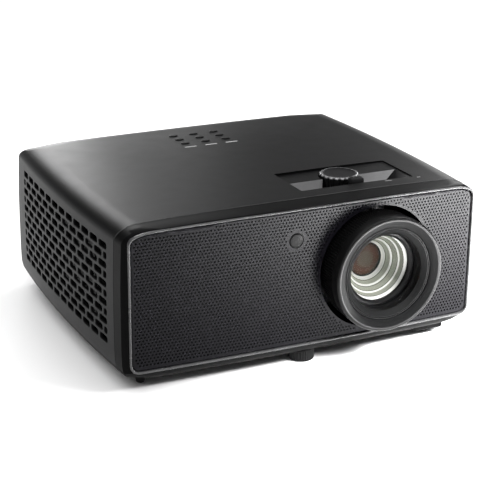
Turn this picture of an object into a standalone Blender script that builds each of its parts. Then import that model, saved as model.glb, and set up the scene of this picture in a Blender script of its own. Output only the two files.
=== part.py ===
# Home projector: low wide case, offset zoom lens on the right of the front,
# 3 x 3 keypad on top, recessed lens controls above the lens.
# +X right (seen from the front), front faces -Y, +Z up, feet stand on z = 0.
import bpy
import bmesh
import math
from mathutils import Vector, Matrix

MM = 0.001
GAP = 0.3            # assembly gap between neighbouring pieces, mm

# ---- case ---------------------------------------------------------------
FOOT = 12.0          # height of the case floor above the table
Y_SHIFT = 11.25      # moves the origin to the middle of the overall depth
HALF_FRONT = 166.0   # half width at the front corners
HALF_BACK = 165.3    # half width at the back corners
SIDE_BOW = 6.4       # outward bow of each side
Y_FRONT = -144.0
Y_BACK = 144.0
FRONT_BOW = 4.0
BACK_BOW = 3.7
R_FRONT = 18.5       # plan radius, front corners
R_BACK = 30.0        # plan radius, back corners
TOP = 131.0          # crown height above the case floor
ROLL_W = 25.0        # top edge roll-off, width
ROLL_H = 12.5        # top edge roll-off, height
ROLL_Z = 116.9       # where the roll-off starts
WALL = 2.4
SEAM_Y = -123.5      # joint between top cover and front bezel
SEAM_Z = 7.0         # joint between bottom case and the pieces above it
LIP_X = 160.3        # half width of the front opening
LIP_Z = 8.6          # bottom of the front opening

# ---- lens ---------------------------------------------------------------
LENS_X = 64.4
LENS_Z = 67.6
LENS_TIP = -170.2    # front rim of the focus ring
FOCUS_R = 50.6
OPENING_R = 54.9
SHIFT = 3.0          # vertical lens shift, each way

# ---- top controls -------------------------------------------------------
REC_X0, REC_X1 = 11.0, 122.0
REC_Y0, REC_YM, REC_Y1 = -107.0, -79.0, -53.5
WELL_Z = 119.0
STEP_Z = 129.0
DIAL_X, DIAL_Y, DIAL_R = 64.4, -76.0, 17.5
DIAL_Z0, DIAL_Z1 = 121.0, 132.0
LEVER_X, LEVER_Y = 68.0, -99.5
KEY_XS = (-21.0, 0.0, 21.0)
KEY_YS = (99.0, 84.5, 70.0)
KEY_RX, KEY_RY = 4.4, 2.7

# ---- side vents ---------------------------------------------------------
VENT_ROWS = 11
VENT_Z0, VENT_DZ = 25.9, 8.2
VENT_Y0, VENT_DY = -101.9, 18.8
VENT_L, VENT_H = 15.0, 5.0
VENT_YMIN, VENT_YMAX = -109.6, 112.0
VENT_RIGHT_YMIN = -10.0   # the right side is vented at the rear half only


def wipe():
    for o in list(bpy.data.objects):
        bpy.data.objects.remove(o, do_unlink=True)


wipe()
PARTS = bpy.data.collections.new("home_projector")
CUTS = bpy.data.collections.new("cutters")
bpy.context.scene.collection.children.link(PARTS)
bpy.context.scene.collection.children.link(CUTS)


def material(name, rgb, metallic=0.0, rough=0.5, alpha=1.0):
    m = bpy.data.materials.get(name)
    if m:
        return m
    m = bpy.data.materials.new(name)
    m.use_nodes = True
    b = m.node_tree.nodes["Principled BSDF"]
    b.inputs["Base Color"].default_value = (rgb[0], rgb[1], rgb[2], 1.0)
    b.inputs["Metallic"].default_value = metallic
    b.inputs["Roughness"].default_value = rough
    b.inputs["Alpha"].default_value = alpha
    return m


def place(obj, collection):
    for c in list(obj.users_collection):
        c.objects.unlink(obj)
    collection.objects.link(obj)


def node(name, bm, rgb, metallic=0.0, rough=0.5, alpha=1.0, origin=None):
    """Make one named piece from a bmesh in millimetres above the case floor."""
    bm.normal_update()
    o3 = Vector(origin) if origin else Vector((0, 0, 0))
    for v in bm.verts:
        v.co = (v.co - o3) * MM
    me = bpy.data.meshes.new(name)
    bm.to_mesh(me)
    bm.free()
    ob = bpy.data.objects.new(name, me)
    ob.location = (o3.x * MM, (o3.y + Y_SHIFT) * MM, (o3.z + FOOT) * MM)
    PARTS.objects.link(ob)
    me.materials.append(material(name, rgb, metallic, rough, alpha))
    return ob


def cutter(name, bm):
    for v in bm.verts:
        v.co = v.co * MM
    me = bpy.data.meshes.new(name)
    bm.to_mesh(me)
    bm.free()
    ob = bpy.data.objects.new(name, me)
    ob.location = (0, Y_SHIFT * MM, FOOT * MM)
    ob.hide_render = True
    ob.display_type = 'WIRE'
    CUTS.objects.link(ob)
    return ob


def boolean(ob, tool, op='DIFFERENCE'):
    m = ob.modifiers.new(op.lower() + "_" + tool.name, 'BOOLEAN')
    m.operation = op
    m.solver = 'EXACT'
    m.object = tool
    return m


def bake(ob):
    """Freeze the modifier stack of a piece and free its cutters."""
    bpy.context.view_layer.update()
    dg = bpy.context.evaluated_depsgraph_get()
    me = bpy.data.meshes.new_from_object(ob.evaluated_get(dg))
    ob.modifiers.clear()
    old = ob.data
    ob.data = me
    me.name = ob.name
    bpy.data.meshes.remove(old)
    bm = bmesh.new()
    bm.from_mesh(me)
    bmesh.ops.remove_doubles(bm, verts=bm.verts, dist=0.00001)
    bmesh.ops.dissolve_degenerate(bm, dist=0.000005, edges=bm.edges)
    bm.to_mesh(me)
    bm.free()
    return ob


# ---- primitives, all in mm ----------------------------------------------
def box(x0, x1, y0, y1, z0, z1, bm=None):
    bm = bm or bmesh.new()
    m = Matrix.Translation(((x0 + x1) / 2, (y0 + y1) / 2, (z0 + z1) / 2)) @ Matrix.Diagonal((x1 - x0, y1 - y0, z1 - z0, 1))
    bmesh.ops.create_cube(bm, size=1.0, matrix=m)
    return bm


def cyl(c, r, h0, h1, axis='Z', n=32, r2=None, bm=None, sx=1.0, sy=1.0):
    """Cylinder or cone from h0 to h1 along an axis through c."""
    bm = bm or bmesh.new()
    mid = (h0 + h1) / 2
    if axis == 'Z':
        rot = Matrix.Identity(4)
        t = Matrix.Translation((c[0], c[1], mid))
    elif axis == 'Y':
        rot = Matrix.Rotation(-math.pi / 2, 4, 'X')
        t = Matrix.Translation((c[0], mid, c[1]))
    else:
        rot = Matrix.Rotation(math.pi / 2, 4, 'Y')
        t = Matrix.Translation((mid, c[0], c[1]))
    s = Matrix.Diagonal((sx, sy, 1, 1))
    bmesh.ops.create_cone(bm, cap_ends=True, segments=n, radius1=r, radius2=r if r2 is None else r2,
                          depth=h1 - h0, matrix=t @ rot @ s)
    return bm


def turned(profile, c, n=48, axis='Y', close=True):
    """Solid of revolution; profile is a list of (radius, position along the axis)."""
    bm = bmesh.new()
    rings = []
    for (r, h) in profile:
        ring = []
        if r < 1e-6:
            p = (c[0], h, c[1]) if axis == 'Y' else (c[0], c[1], h)
            ring = [bm.verts.new(p)]
        else:
            for i in range(n):
                a = 2 * math.pi * i / n
                if axis == 'Y':
                    p = (c[0] + r * math.cos(a), h, c[1] + r * math.sin(a))
                else:
                    p = (c[0] + r * math.cos(a), c[1] + r * math.sin(a), h)
                ring.append(bm.verts.new(p))
        rings.append(ring)
    pairs = list(zip(rings[:-1], rings[1:]))
    if close:
        pairs.append((rings[-1], rings[0]))
    for A, B in pairs:
        if len(A) == 1 and len(B) == 1:
            continue
        for i in range(n):
            j = (i + 1) % n
            if len(A) == 1:
                bm.faces.new((A[0], B[j], B[i]))
            elif len(B) == 1:
                bm.faces.new((A[i], A[j], B[0]))
            else:
                bm.faces.new((A[i], A[j], B[j], B[i]))
    bmesh.ops.recalc_face_normals(bm, faces=bm.faces)
    return bm


def prism(points, h0, h1, axis='Y'):
    """Extruded polygon; points are (x, z) for axis Y, (x, y) for Z, (y, z) for X."""
    bm = bmesh.new()
    rows = []
    for h in (h0, h1):
        row = []
        for (a, b) in points:
            p = {'Y': (a, h, b), 'Z': (a, b, h), 'X': (h, a, b)}[axis]
            row.append(bm.verts.new(p))
        rows.append(row)
    n = len(points)
    bm.faces.new(rows[0])
    bm.faces.new(rows[1])
    for i in range(n):
        j = (i + 1) % n
        bm.faces.new((rows[0][i], rows[0][j], rows[1][j], rows[1][i]))
    bmesh.ops.recalc_face_normals(bm, faces=bm.faces)
    return bm


def loft(rings):
    """Closed solid through rings of equal vertex count."""
    bm = bmesh.new()
    R = [[bm.verts.new(p) for p in ring] for ring in rings]
    n = len(R[0])
    for A, B in zip(R[:-1], R[1:]):
        for i in range(n):
            j = (i + 1) % n
            bm.faces.new((A[i], A[j], B[j], B[i]))
    bm.faces.new(R[0])
    bm.faces.new(R[-1])
    bmesh.ops.recalc_face_normals(bm, faces=bm.faces)
    return bm


def join(*meshes):
    """Disjoint or simple solids in one bmesh."""
    out = bmesh.new()
    for b in meshes:
        tmp = bpy.data.meshes.new("tmp")
        b.to_mesh(tmp)
        b.free()
        out.from_mesh(tmp)
        bpy.data.meshes.remove(tmp)
    return out


# ---- plan outline of the case -------------------------------------------
def hull2d(pts):
    pts = sorted(set((round(x, 6), round(y, 6)) for x, y in pts))

    def half(seq):
        out = []
        for p in seq:
            while len(out) >= 2 and ((out[-1][0] - out[-2][0]) * (p[1] - out[-2][1]) -
                                     (out[-1][1] - out[-2][1]) * (p[0] - out[-2][0])) <= 1e-9:
                out.pop()
            out.append(p)
        return out
    lo = half(pts)
    hi = half(reversed(pts))
    return lo[:-1] + hi[:-1]


def plan_outline():
    p = []
    nf, nb = 5, 6
    for i in range(nf):
        a = -math.pi / 2 + math.pi / 2 * i / (nf - 1)
        p.append((HALF_FRONT - R_FRONT + R_FRONT * math.cos(a), Y_FRONT + R_FRONT + R_FRONT * math.sin(a)))
    for i in range(1, 5):
        s = i / 5
        p.append((HALF_FRONT + (HALF_BACK - HALF_FRONT) * s + SIDE_BOW * 4 * s * (1 - s), Y_FRONT + (Y_BACK - Y_FRONT) * s))
    for i in range(nb):
        a = math.pi / 2 * i / (nb - 1)
        p.append((HALF_BACK - R_BACK + R_BACK * math.cos(a), Y_BACK - R_BACK + R_BACK * math.sin(a)))
    for i in range(4):
        x = (HALF_FRONT - R_FRONT) * i / 4
        p.append((x, Y_FRONT - FRONT_BOW * (1 - (x / HALF_FRONT) ** 2)))
    for i in range(3):
        x = (HALF_BACK - R_BACK) * i / 3
        p.append((x, Y_BACK + BACK_BOW * (1 - (x / HALF_BACK) ** 2)))
    return hull2d(p + [(-x, y) for x, y in p])


PLAN = plan_outline()
PX = max(x for x, y in PLAN)
PY0 = min(y for x, y in PLAN)
PY1 = max(y for x, y in PLAN)


def front_y(x):
    """Y of the case front at a given x."""
    best = 0.0
    n = len(PLAN)
    for i in range(n):
        (x0, y0), (x1, y1) = PLAN[i], PLAN[(i + 1) % n]
        if (x0 - x) * (x1 - x) <= 0 and abs(x1 - x0) > 1e-9:
            y = y0 + (y1 - y0) * (x - x0) / (x1 - x0)
            best = min(best, y)
    return best


def section(z, ins_x, ins_b, ins_f):
    y0, y1 = PY0 + ins_f, PY1 - ins_b
    kx = 1 - ins_x / PX
    return [(x * kx, y0 + (y - PY0) * (y1 - y0) / (PY1 - PY0), z) for x, y in PLAN]


def case_levels():
    """(z, side inset, back inset, front inset) from the floor to the crown."""
    L = [(0.0, 9.0, 9.0, 5.0), (1.5, 5.4, 5.4, 3.0), (4.0, 2.7, 2.7, 1.2), (SEAM_Z, 1.3, 1.3, 0.0),
         (13.0, 0.3, 0.3, 0.0), (24.0, 0.0, 0.0, 0.0), (80.0, 0.3, 0.3, 0.0), (ROLL_Z, 1.6, 1.6, 0.0)]
    for i in range(1, 6):
        a = math.pi / 2 * i / 5
        L.append((ROLL_Z + ROLL_H * math.sin(a), 1.6 + ROLL_W * (1 - math.cos(a)), 1.6 + ROLL_W * (1 - math.cos(a)), 0.0))
    L.append((TOP - 0.7, 60.0, 60.0, 0.0))
    L.append((TOP - 0.1, 100.0, 100.0, 0.0))
    L.append((TOP, 132.0, 132.0, 0.0))
    return L


def crown(x, back=999.0):
    """Height of the case top at a distance x off the centre plane, along the front."""
    k = HALF_FRONT / PX
    pts = [((PX - ix) * k, z) for z, ix, ib, f in case_levels() if z >= ROLL_Z - 0.01]
    pts.sort()
    ax = abs(x)
    if ax <= pts[0][0]:
        return TOP
    for (x0, z0), (x1, z1) in zip(pts[:-1], pts[1:]):
        if x0 <= ax <= x1:
            return z0 + (z1 - z0) * (ax - x0) / (x1 - x0)
    return pts[-1][1]


def top_at(x, y):
    """Height of the case top at a point well inside the roll-off."""
    ins = min(PX - abs(x), PY1 - y)
    pts = [(ix, z) for z, ix, ib, f in case_levels() if z >= ROLL_Z - 0.01]
    pts.sort()
    for (a, z0), (b, z1) in zip(pts[:-1], pts[1:]):
        if a <= ins <= b:
            return z0 + (z1 - z0) * (ins - a) / (b - a)
    return TOP


def case_outer():
    return loft([section(*lv) for lv in case_levels()])


def case_inner():
    k = (TOP - 2 * WALL - 0.1) / TOP
    return loft([section(WALL + z * k, ix + WALL, ib + WALL, f + WALL) for z, ix, ib, f in case_levels()])


def front_opening(inset):
    """Outline of the front opening in (x, z), following the crown at its top."""
    zb, xs, r = LIP_Z + inset, LIP_X - inset, 7.0
    right = [(0.0, zb)]
    for i in range(5):
        a = -math.pi / 2 + math.pi / 2 * i / 4
        right.append((xs - r + r * math.cos(a), zb + r + r * math.sin(a)))
    right.append((xs, 117.5 - inset))
    for x in (158.0, 154.0, 148.0, 140.0, 126.0, 105.0, 70.0, 35.0):
        right.append((x - inset * 0.5, crown(x) - 2.5 - inset))
    right.append((0.0, crown(0) - 2.5 - inset))
    left = [(-x, z) for x, z in reversed(right[1:-1])]
    return right + left


BLACK = (0.022, 0.022, 0.024)
DARK = (0.035, 0.035, 0.038)
GREY = (0.32, 0.33, 0.34)
STEEL = (0.55, 0.56, 0.58)

# ---- top cover ----------------------------------------------------------
inner = cutter("case_hollow", case_inner())
rear_region = cutter("cover_region", box(-200, 200, SEAM_Y, 200, SEAM_Z, 200))
top_cover = node("top_cover", case_outer(), BLACK, rough=0.45)
boolean(top_cover, rear_region, 'INTERSECT')
boolean(top_cover, inner)


def vent_boxes(side):
    bm = bmesh.new()
    for r in range(VENT_ROWS):
        z = VENT_Z0 + VENT_DZ * (VENT_ROWS - 1 - r)
        shift = 0.0 if r % 2 == 0 else -VENT_DY / 2
        k = 0
        while True:
            c = VENT_Y0 + shift + VENT_DY * k
            k += 1
            a, b = c - VENT_L / 2, c + VENT_L / 2
            if a > VENT_YMAX - 3:
                break
            a, b = max(a, VENT_YMIN if side < 0 else VENT_RIGHT_YMIN), min(b, VENT_YMAX)
            if b - a < 3:
                continue
            x0, x1 = (150.0, 180.0) if side > 0 else (-180.0, -150.0)
            box(x0, x1, a, b, z - VENT_H / 2, z + VENT_H / 2, bm)
    return bm


boolean(top_cover, cutter("vent_slots_left", vent_boxes(-1)))
boolean(top_cover, cutter("vent_slots_right", vent_boxes(1)))
boolean(top_cover, cutter("control_recess", box(REC_X0, REC_X1, REC_Y0, REC_Y1, 110, 140)))
keys = bmesh.new()
for ky in KEY_YS:
    for kx in KEY_XS:
        cyl((kx, ky), 1.0, 118, 140, n=14, bm=keys, sx=KEY_RX + GAP, sy=KEY_RY + GAP)
boolean(top_cover, cutter("key_holes", keys))
boolean(top_cover, cutter("rear_window", box(-112, 72, 125, 160, 28, 82)))
bake(top_cover)

# ---- bottom case --------------------------------------------------------
bottom = node("bottom_case", case_outer(), DARK, rough=0.55)
boolean(bottom, cutter("tray_region", box(-200, 200, -200, 200, -1, SEAM_Z - GAP)), 'INTERSECT')
boolean(bottom, inner)
# pad under the lens corner
boolean(bottom, cutter("corner_pad", box(112, 142, -136, -112, -6, 1.5)), 'UNION')
# pillars the boards and modules stand on
posts = [(-107, 56), (-107, 115), (-30, 60), (-30, 118), (20, 66), (84, 66), (20, 128), (84, 128),
         (-100, -50), (-100, 30), (-55, -50), (-55, 30)]
tall = {4: 51.7, 5: 51.7, 6: 51.7, 7: 51.7}
pb = bmesh.new()
for i, (px, py) in enumerate(posts):
    cyl((px, py), 3.5, 2.0, tall.get(i, 9.7), n=8, bm=pb)
boolean(bottom, cutter("pillars", pb), 'UNION')
# sockets for the feet and the case screws
FOOT_F = (1.3, -131.0)
FOOT_R = ((-118.0, 104.0), (118.0, 104.0))
RESTS = ((-144.0, -119.0), (128.0, -124.0))
SCREWS = ((-140.0, -90.0), (140.0, -90.0), (-70.0, 128.0), (70.0, 112.0))
holes = bmesh.new()
cyl(FOOT_F, 4.3, -2, 12, n=24, bm=holes)
for c in FOOT_R:
    cyl(c, 4.3, -2, 12, n=24, bm=holes)
for c in SCREWS:
    cyl(c, 1.9, -2, 12, n=16, bm=holes)
boolean(bottom, cutter("floor_holes", holes))
bake(bottom)

# ---- front bezel and front panel ----------------------------------------
bezel = node("front_bezel", case_outer(), BLACK, rough=0.4)
boolean(bezel, cutter("bezel_region", box(-200, 200, -200, SEAM_Y - GAP, SEAM_Z, 200)), 'INTERSECT')
boolean(bezel, inner)
boolean(bezel, cutter("front_opening", prism(front_opening(0.0), -190, -128.0)))
bake(bezel)


def panel_slab():
    xs = [-165 + 330 * i / 30 for i in range(31)]
    front = [(x, front_y(x) + 1.0) for x in xs]
    back = [(x, front_y(x) + 3.4) for x in reversed(xs)]
    return prism(front + back, 0, 140, 'Z')


grille = node("front_grille", panel_slab(), (0.03, 0.029, 0.036), rough=0.5)
boolean(grille, cutter("panel_outline", prism(front_opening(0.4), -190, -120)), 'INTERSECT')
lens_hole = cutter("lens_opening", cyl((LENS_X, LENS_Z), OPENING_R, -190, -110, 'Y', n=56))
boolean(grille, lens_hole)
IR = (-13.8, 102.7)
boolean(grille, cutter("ir_opening", cyl(IR, 6.7, -190, -120, 'Y', n=20)))
bake(grille)
yi = front_y(IR[0])
node("ir_window", turned([(0, yi + 0.4), (5.6, yi + 0.5), (6.4, yi + 1.0), (6.4, yi + 4.0), (0, yi + 4.0)], IR, 20, close=False),
     (0.05, 0.045, 0.055), rough=0.15)

# ---- lens control tray ---------------------------------------------------
g = GAP
tray = node("lens_control_tray", box(REC_X0 + g, REC_X1 - g, REC_Y0 + g, REC_Y1 - g, 117.0, STEP_Z), (0.05, 0.05, 0.054), rough=0.5)


def well():
    d = 10.0
    lo = [(REC_X0 + 2 + d, REC_Y0 + 2, WELL_Z), (REC_X1 - 2 - d, REC_Y0 + 2, WELL_Z),
          (REC_X1 - 2 - d, REC_YM - 0.3, WELL_Z), (REC_X0 + 2 + d, REC_YM - 0.3, WELL_Z)]
    e = 1.3
    hi = [(REC_X0 + 2 - e, REC_Y0 + 2, STEP_Z + e), (REC_X1 - 2 + e, REC_Y0 + 2, STEP_Z + e),
          (REC_X1 - 2 + e, REC_YM, STEP_Z + e), (REC_X0 + 2 - e, REC_YM, STEP_Z + e)]
    return loft([lo, hi])


boolean(tray, cutter("control_well", well()))
boolean(tray, cutter("dial_pocket", cyl((DIAL_X, DIAL_Y), DIAL_R + 1.0, DIAL_Z0 - 0.8, 140, n=48)))
boolean(tray, cutter("dial_bore", cyl((DIAL_X, DIAL_Y), 3.1, 110, 130, n=24)))
boolean(tray, cutter("lever_slot", box(46, 90, LEVER_Y - 3.4, LEVER_Y + 3.4, 110, 125)))
boolean(tray, cutter("tray_underside_left", box(14, 38, -76, -56, 110, 127)))
boolean(tray, cutter("tray_underside_right", box(92, 119, -76, -56, 110, 127)))
bake(tray)


# ---- dial, lever, zoom ring ----------------------------------------------
def scalloped(c, r0, r1, z0, z1, lobes, depth, n):
    rings = []
    for (k, z, dd) in ((r0, z0, depth), (r1, z1 - 1.6, depth), (r1 - 0.3, z1 - 0.7, depth * 0.6), (r1 - 1.6, z1, 0.0)):
        ring = []
        for i in range(n):
            a = 2 * math.pi * i / n
            r = k - dd * (0.5 - 0.5 * math.cos(lobes * a))
            ring.append((c[0] + r * math.cos(a), c[1] + r * math.sin(a), z))
        rings.append(ring)
    return loft(rings)


dial = node("lens_shift_dial", scalloped((DIAL_X, DIAL_Y), DIAL_R - 2.6, DIAL_R, DIAL_Z0, DIAL_Z1, 18, 1.1, 54),
            DARK, rough=0.45, origin=(DIAL_X, DIAL_Y, 125.0))
boolean(dial, cutter("dial_shaft", cyl((DIAL_X, DIAL_Y), 3.0, 115.0, DIAL_Z0 + 1, n=24)), 'UNION')
bake(dial)

LC = (LENS_X, LENS_Z)
zoom = node("zoom_ring", turned([(45, -107), (45, -92), (41.2, -92), (41.2, -107)], LC, 40), DARK, rough=0.5,
            origin=(LENS_X, -99.5, LENS_Z))
tilt = math.atan2(LEVER_X - LENS_X, 131.0 - LENS_Z)


def lever():
    bm = box(-3.0, 3.0, LEVER_Y - 2.2, LEVER_Y + 2.2, 45.3, 60.5)
    # finger tab: a short rounded bar across the stem
    pts = [(4.2 * math.cos(a), 63.2 + 3.7 * math.sin(a)) for a in [2 * math.pi * i / 20 for i in range(20)]]
    bm2 = prism(pts, -6.6, 6.6, 'X')
    for v in bm2.verts:
        v.co.y += LEVER_Y
    return bm, bm2


stem, tab = lever()
rot = Matrix.Translation((LENS_X, 0, LENS_Z)) @ Matrix.Rotation(tilt, 4, 'Y')
bmesh.ops.transform(stem, matrix=rot, verts=stem.verts)
bmesh.ops.transform(tab, matrix=rot, verts=tab.verts)
lever_ob = node("zoom_lever", stem, GREY, rough=0.4, origin=(LENS_X, -99.5, LENS_Z))
boolean(lever_ob, cutter("lever_tab", tab), 'UNION')
bake(lever_ob)


# ---- focus ring and lens barrel -------------------------------------------
def ribbed_ring():
    """Grip ring: smooth front band, ribbed sleeve behind it, chamfered mouth."""
    n = 80
    bm = bmesh.new()
    prof = [(FOCUS_R - 0.7, LENS_TIP, 0), (FOCUS_R, LENS_TIP + 0.8, 0), (FOCUS_R, -159.5, 0), (FOCUS_R - 0.4, -159.0, 1),
            (FOCUS_R - 0.4, -142.0, 1), (FOCUS_R - 1.6, -141.0, 0), (FOCUS_R - 1.6, -138.0, 0), (41.2, -138.0, 0),
            (41.2, -167.0, 0), (FOCUS_R - 2.2, LENS_TIP + 0.2, 0)]
    rings = []
    for r, y, rib in prof:
        ring = []
        for i in range(n):
            a = 2 * math.pi * i / n
            rr = r - (0.8 if rib and i % 2 else 0.0)
            ring.append(bm.verts.new((LENS_X + rr * math.cos(a), y, LENS_Z + rr * math.sin(a))))
        rings.append(ring)
    for A, B in zip(rings, rings[1:] + rings[:1]):
        for i in range(n):
            j = (i + 1) % n
            bm.faces.new((A[i], A[j], B[j], B[i]))
    bmesh.ops.recalc_face_normals(bm, faces=bm.faces)
    return bm


node("focus_ring", ribbed_ring(), BLACK, rough=0.35, origin=(LENS_X, -155.0, LENS_Z))
node("lens_barrel", turned([(40.8, -166.6), (40.8, -137.5), (46.5, -137.5), (46.5, -133.5), (40.8, -133.5), (40.8, -66.0),
                            (36.0, -66.0), (36.0, -112.0), (27.0, -118.0), (27.0, -137.0), (30.6, -139.0), (30.6, -150.0),
                            (33.5, -150.0), (35.0, -158.0), (38.6, -166.0)], LC, 40), BLACK, rough=0.4,
     origin=(LENS_X, -155.0, LENS_Z))


def lens_profile(r, y0, y1, bulge0, bulge1, edge):
    """Biconvex element: apex y0 at the front, apex y1 at the back."""
    p = []
    for i in range(5):
        t = i / 4
        p.append((r * t, y0 + bulge0 * t * t))
    for i in range(3):
        t = 1 - i / 2
        p.append((r * t, y1 - bulge1 * t * t))
    return p


GLASS = (0.55, 0.6, 0.58)
node("front_lens", turned(lens_profile(30.2, -148.0, -139.4, 4.0, 0.8, 0), LC, 36, close=False), GLASS, rough=0.02, alpha=0.35,
     origin=(LENS_X, -145, LENS_Z))
node("front_lens_ring", turned([(30.9, -152.8), (33.1, -152.8), (33.1, -150.4), (28.9, -150.4), (28.9, -151.2)], LC, 32),
     STEEL, 0.9, 0.25, origin=(LENS_X, -151, LENS_Z))
node("middle_lens", turned(lens_profile(26.6, -133.0, -122.0, 3.0, 3.0, 0), LC, 24, close=False), GLASS, rough=0.02, alpha=0.35,
     origin=(LENS_X, -127, LENS_Z))
node("rear_lens", turned(lens_profile(35.6, -84.0, -70.0, 4.0, 3.0, 0), LC, 24, close=False), GLASS, rough=0.02, alpha=0.35,
     origin=(LENS_X, -77, LENS_Z))
plate = node("lens_carriage_plate", box(18, 111, -65.7, -62.0, 24, 111), STEEL, 0.8, 0.4, origin=(LENS_X, -64, LENS_Z))
boolean(plate, cutter("carriage_hole", cyl(LC, 34.0, -80, -50, 'Y', n=36)))
bake(plate)
guide = node("lens_guide_frame", box(8, 121, -61.6, -58.6, 2.8, 114), GREY, 0.6, 0.45)
boolean(guide, cutter("guide_hole", cyl(LC, 37.0, -80, -50, 'Y', n=36)))
bake(guide)

# ---- keypad ----------------------------------------------------------------
NAMES = (("menu_key", "up_key", "power_key"), ("left_key", "enter_key", "right_key"),
         ("input_key", "down_key", "return_key"))
for r, ky in enumerate(KEY_YS):
    for c, kx in enumerate(KEY_XS):
        zt = top_at(kx, ky) + 0.9
        b = bmesh.new()
        rings = []
        for (s, z) in ((1.25, 125.6), (1.25, 126.6), (1.0, 126.61), (1.0, zt - 0.6), (0.86, zt)):
            ring = []
            for i in range(14):
                a = 2 * math.pi * i / 14
                ring.append((kx + KEY_RX * s * math.cos(a), ky + KEY_RY * s * math.sin(a), z))
            rings.append(ring)
        node(NAMES[r][c], loft(rings), DARK, rough=0.5, origin=(kx, ky, 127.0))
node("keypad_board", box(-36, 36, 60, 109, 121.6, 123.2), (0.02, 0.12, 0.05), rough=0.5)


# ---- feet --------------------------------------------------------------------
def adjust_foot(c, r, ribs):
    rings = []
    for (k, z, dd) in ((r - 1.2, -FOOT, 0.0), (r, -FOOT + 1.2, 0.7), (r, -2.4, 0.7), (r - 1.0, -1.4, 0.0), (3.9, -1.39, 0.0), (3.9, 22.0, 0.0)):
        ring = []
        for i in range(ribs * 2):
            a = math.pi * i / ribs
            rr = k - (dd if i % 2 else 0)
            ring.append((c[0] + rr * math.cos(a), c[1] + rr * math.sin(a), z))
        rings.append(ring)
    return loft(rings)


node("front_foot", adjust_foot(FOOT_F, 11.0, 18), DARK, rough=0.6, origin=(FOOT_F[0], FOOT_F[1], 0))
node("rear_foot_left", adjust_foot(FOOT_R[0], 11.0, 12), DARK, rough=0.6, origin=(FOOT_R[0][0], FOOT_R[0][1], 0))
node("rear_foot_right", adjust_foot(FOOT_R[1], 11.0, 12), DARK, rough=0.6, origin=(FOOT_R[1][0], FOOT_R[1][1], 0))
node("front_rest_left", cyl(RESTS[0], 3.6, -FOOT, -0.3, n=20, r2=5.0), DARK, rough=0.8)
node("front_rest_right", cyl(RESTS[1], 3.6, -FOOT, -6.3, n=20, r2=4.4), DARK, rough=0.8)
for i, c in enumerate(SCREWS):
    s = node("case_screw_%d" % (i + 1), turned([(0, -1.9), (3.2, -1.9), (3.2, -0.3), (1.5, -0.29), (1.5, 7.0), (0, 7.0)],
                                               c, 10, 'Z', close=False), (0.1, 0.1, 0.1), 0.9, 0.35)
    cross = join(box(c[0] - 1.9, c[0] + 1.9, c[1] - 0.4, c[1] + 0.4, -3, -1.0))
    boolean(s, cutter("screw_slot_%d" % (i + 1), cross))
    bake(s)

# ---- rear connector panel -----------------------------------------------------
rp = node("rear_io_panel", box(-112 + g, 72 - g, 142.4, 144.8, 28 + g, 82 - g), DARK, rough=0.5)
PORTS = {"hdmi_socket_1": (-40, 68, 7.5, 2.8), "hdmi_socket_2": (-16, 68, 7.5, 2.8), "usb_socket": (6, 68, 6.6, 3.6)}
cut = bmesh.new()
for (px, pz, hx, hz) in PORTS.values():
    box(px - hx - g, px + hx + g, 135, 148, pz - hz - g, pz + hz + g, cut)
box(-102 - g, -72 + g, 135, 148, 36 - g, 56 + g, cut)
boolean(rp, cutter("port_windows", cut))
boolean(rp, cutter("audio_window", cyl((30, 67), 4.3, 135, 148, 'Y', n=24)))
bake(rp)
for name, (px, pz, hx, hz) in PORTS.items():
    p = node(name, box(px - hx, px + hx, 131, 145.2, pz - hz, pz + hz), STEEL, 0.9, 0.3)
    boolean(p, cutter(name + "_mouth", box(px - hx + 0.7, px + hx - 0.7, 134, 148, pz - hz + 0.7, pz + hz - 0.7)))
    tng = box(px - hx + 2, px + hx - 2, 133, 144.0, pz - 0.4, pz + 0.6)
    boolean(p, cutter(name + "_tongue", tng), 'UNION')
    bake(p)
a = node("audio_socket", cyl((30, 67), 4.0, 131, 145.4, 'Y', n=24), DARK, rough=0.4)
boolean(a, cutter("audio_bore", cyl((30, 67), 1.8, 133, 148, 'Y', n=16)))
bake(a)
inl = node("power_inlet", box(-102, -72, 127, 145.2, 36, 56), BLACK, rough=0.4)
boolean(inl, cutter("inlet_mouth", box(-100, -74, 131, 148, 38, 54)))
boolean(inl, cutter("inlet_core", box(-97.5, -76.5, 130, 144.0, 40, 51.5)), 'UNION')
bake(inl)

# ---- optics behind the lens ------------------------------------------------------
eng = node("optical_engine", box(32, 98, -52, 8, 12, 106), (0.4, 0.4, 0.42), 0.7, 0.45)
boolean(eng, cutter("engine_snout", cyl(LC, 30.0, -58.0, -50.0, 'Y', n=40)), 'UNION')
boolean(eng, cutter("engine_light_port", cyl(LC, 20.0, -70, -30.0, 'Y', n=32)))
boolean(eng, cutter("engine_side_step", box(80, 110, -60, -10, 70, 120)))
bake(eng)
node("imager_board", box(28, 104, 8.6, 10.4, 24, 110), (0.02, 0.12, 0.05), rough=0.5)


def fins(x0, x1, y0, y1, z0, z1, base, count, t, along):
    """Finned heat sink: base plate on the low side, comb outline extruded along one axis."""
    pts = []
    if along == 'Z':      # fins stand out in +Y from a plate at y0, spaced in X
        step = (x1 - x0 - t) / (count - 1)
        pts = [(x0, y0), (x1, y0)]
        for i in reversed(range(count)):
            a = x0 + i * step
            pts += [(a + t, y1), (a, y1)]
            if i:
                pts += [(a, y0 + base), (a - step + t, y0 + base)]
        pts = [p for p in pts]
        return prism(pts, z0, z1, 'Z')
    step = (y1 - y0 - t) / (count - 1)   # fins stand out in -X from a plate at x1, spaced in Y
    pts = [(x1, y0), (x1, y1)]
    for i in reversed(range(count)):
        a = y0 + i * step
        pts += [(x0, a + t), (x0, a)]
        if i:
            pts += [(x1 - base, a), (x1 - base, a - step + t)]
    return prism(pts, z0, z1, 'Z')


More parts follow.
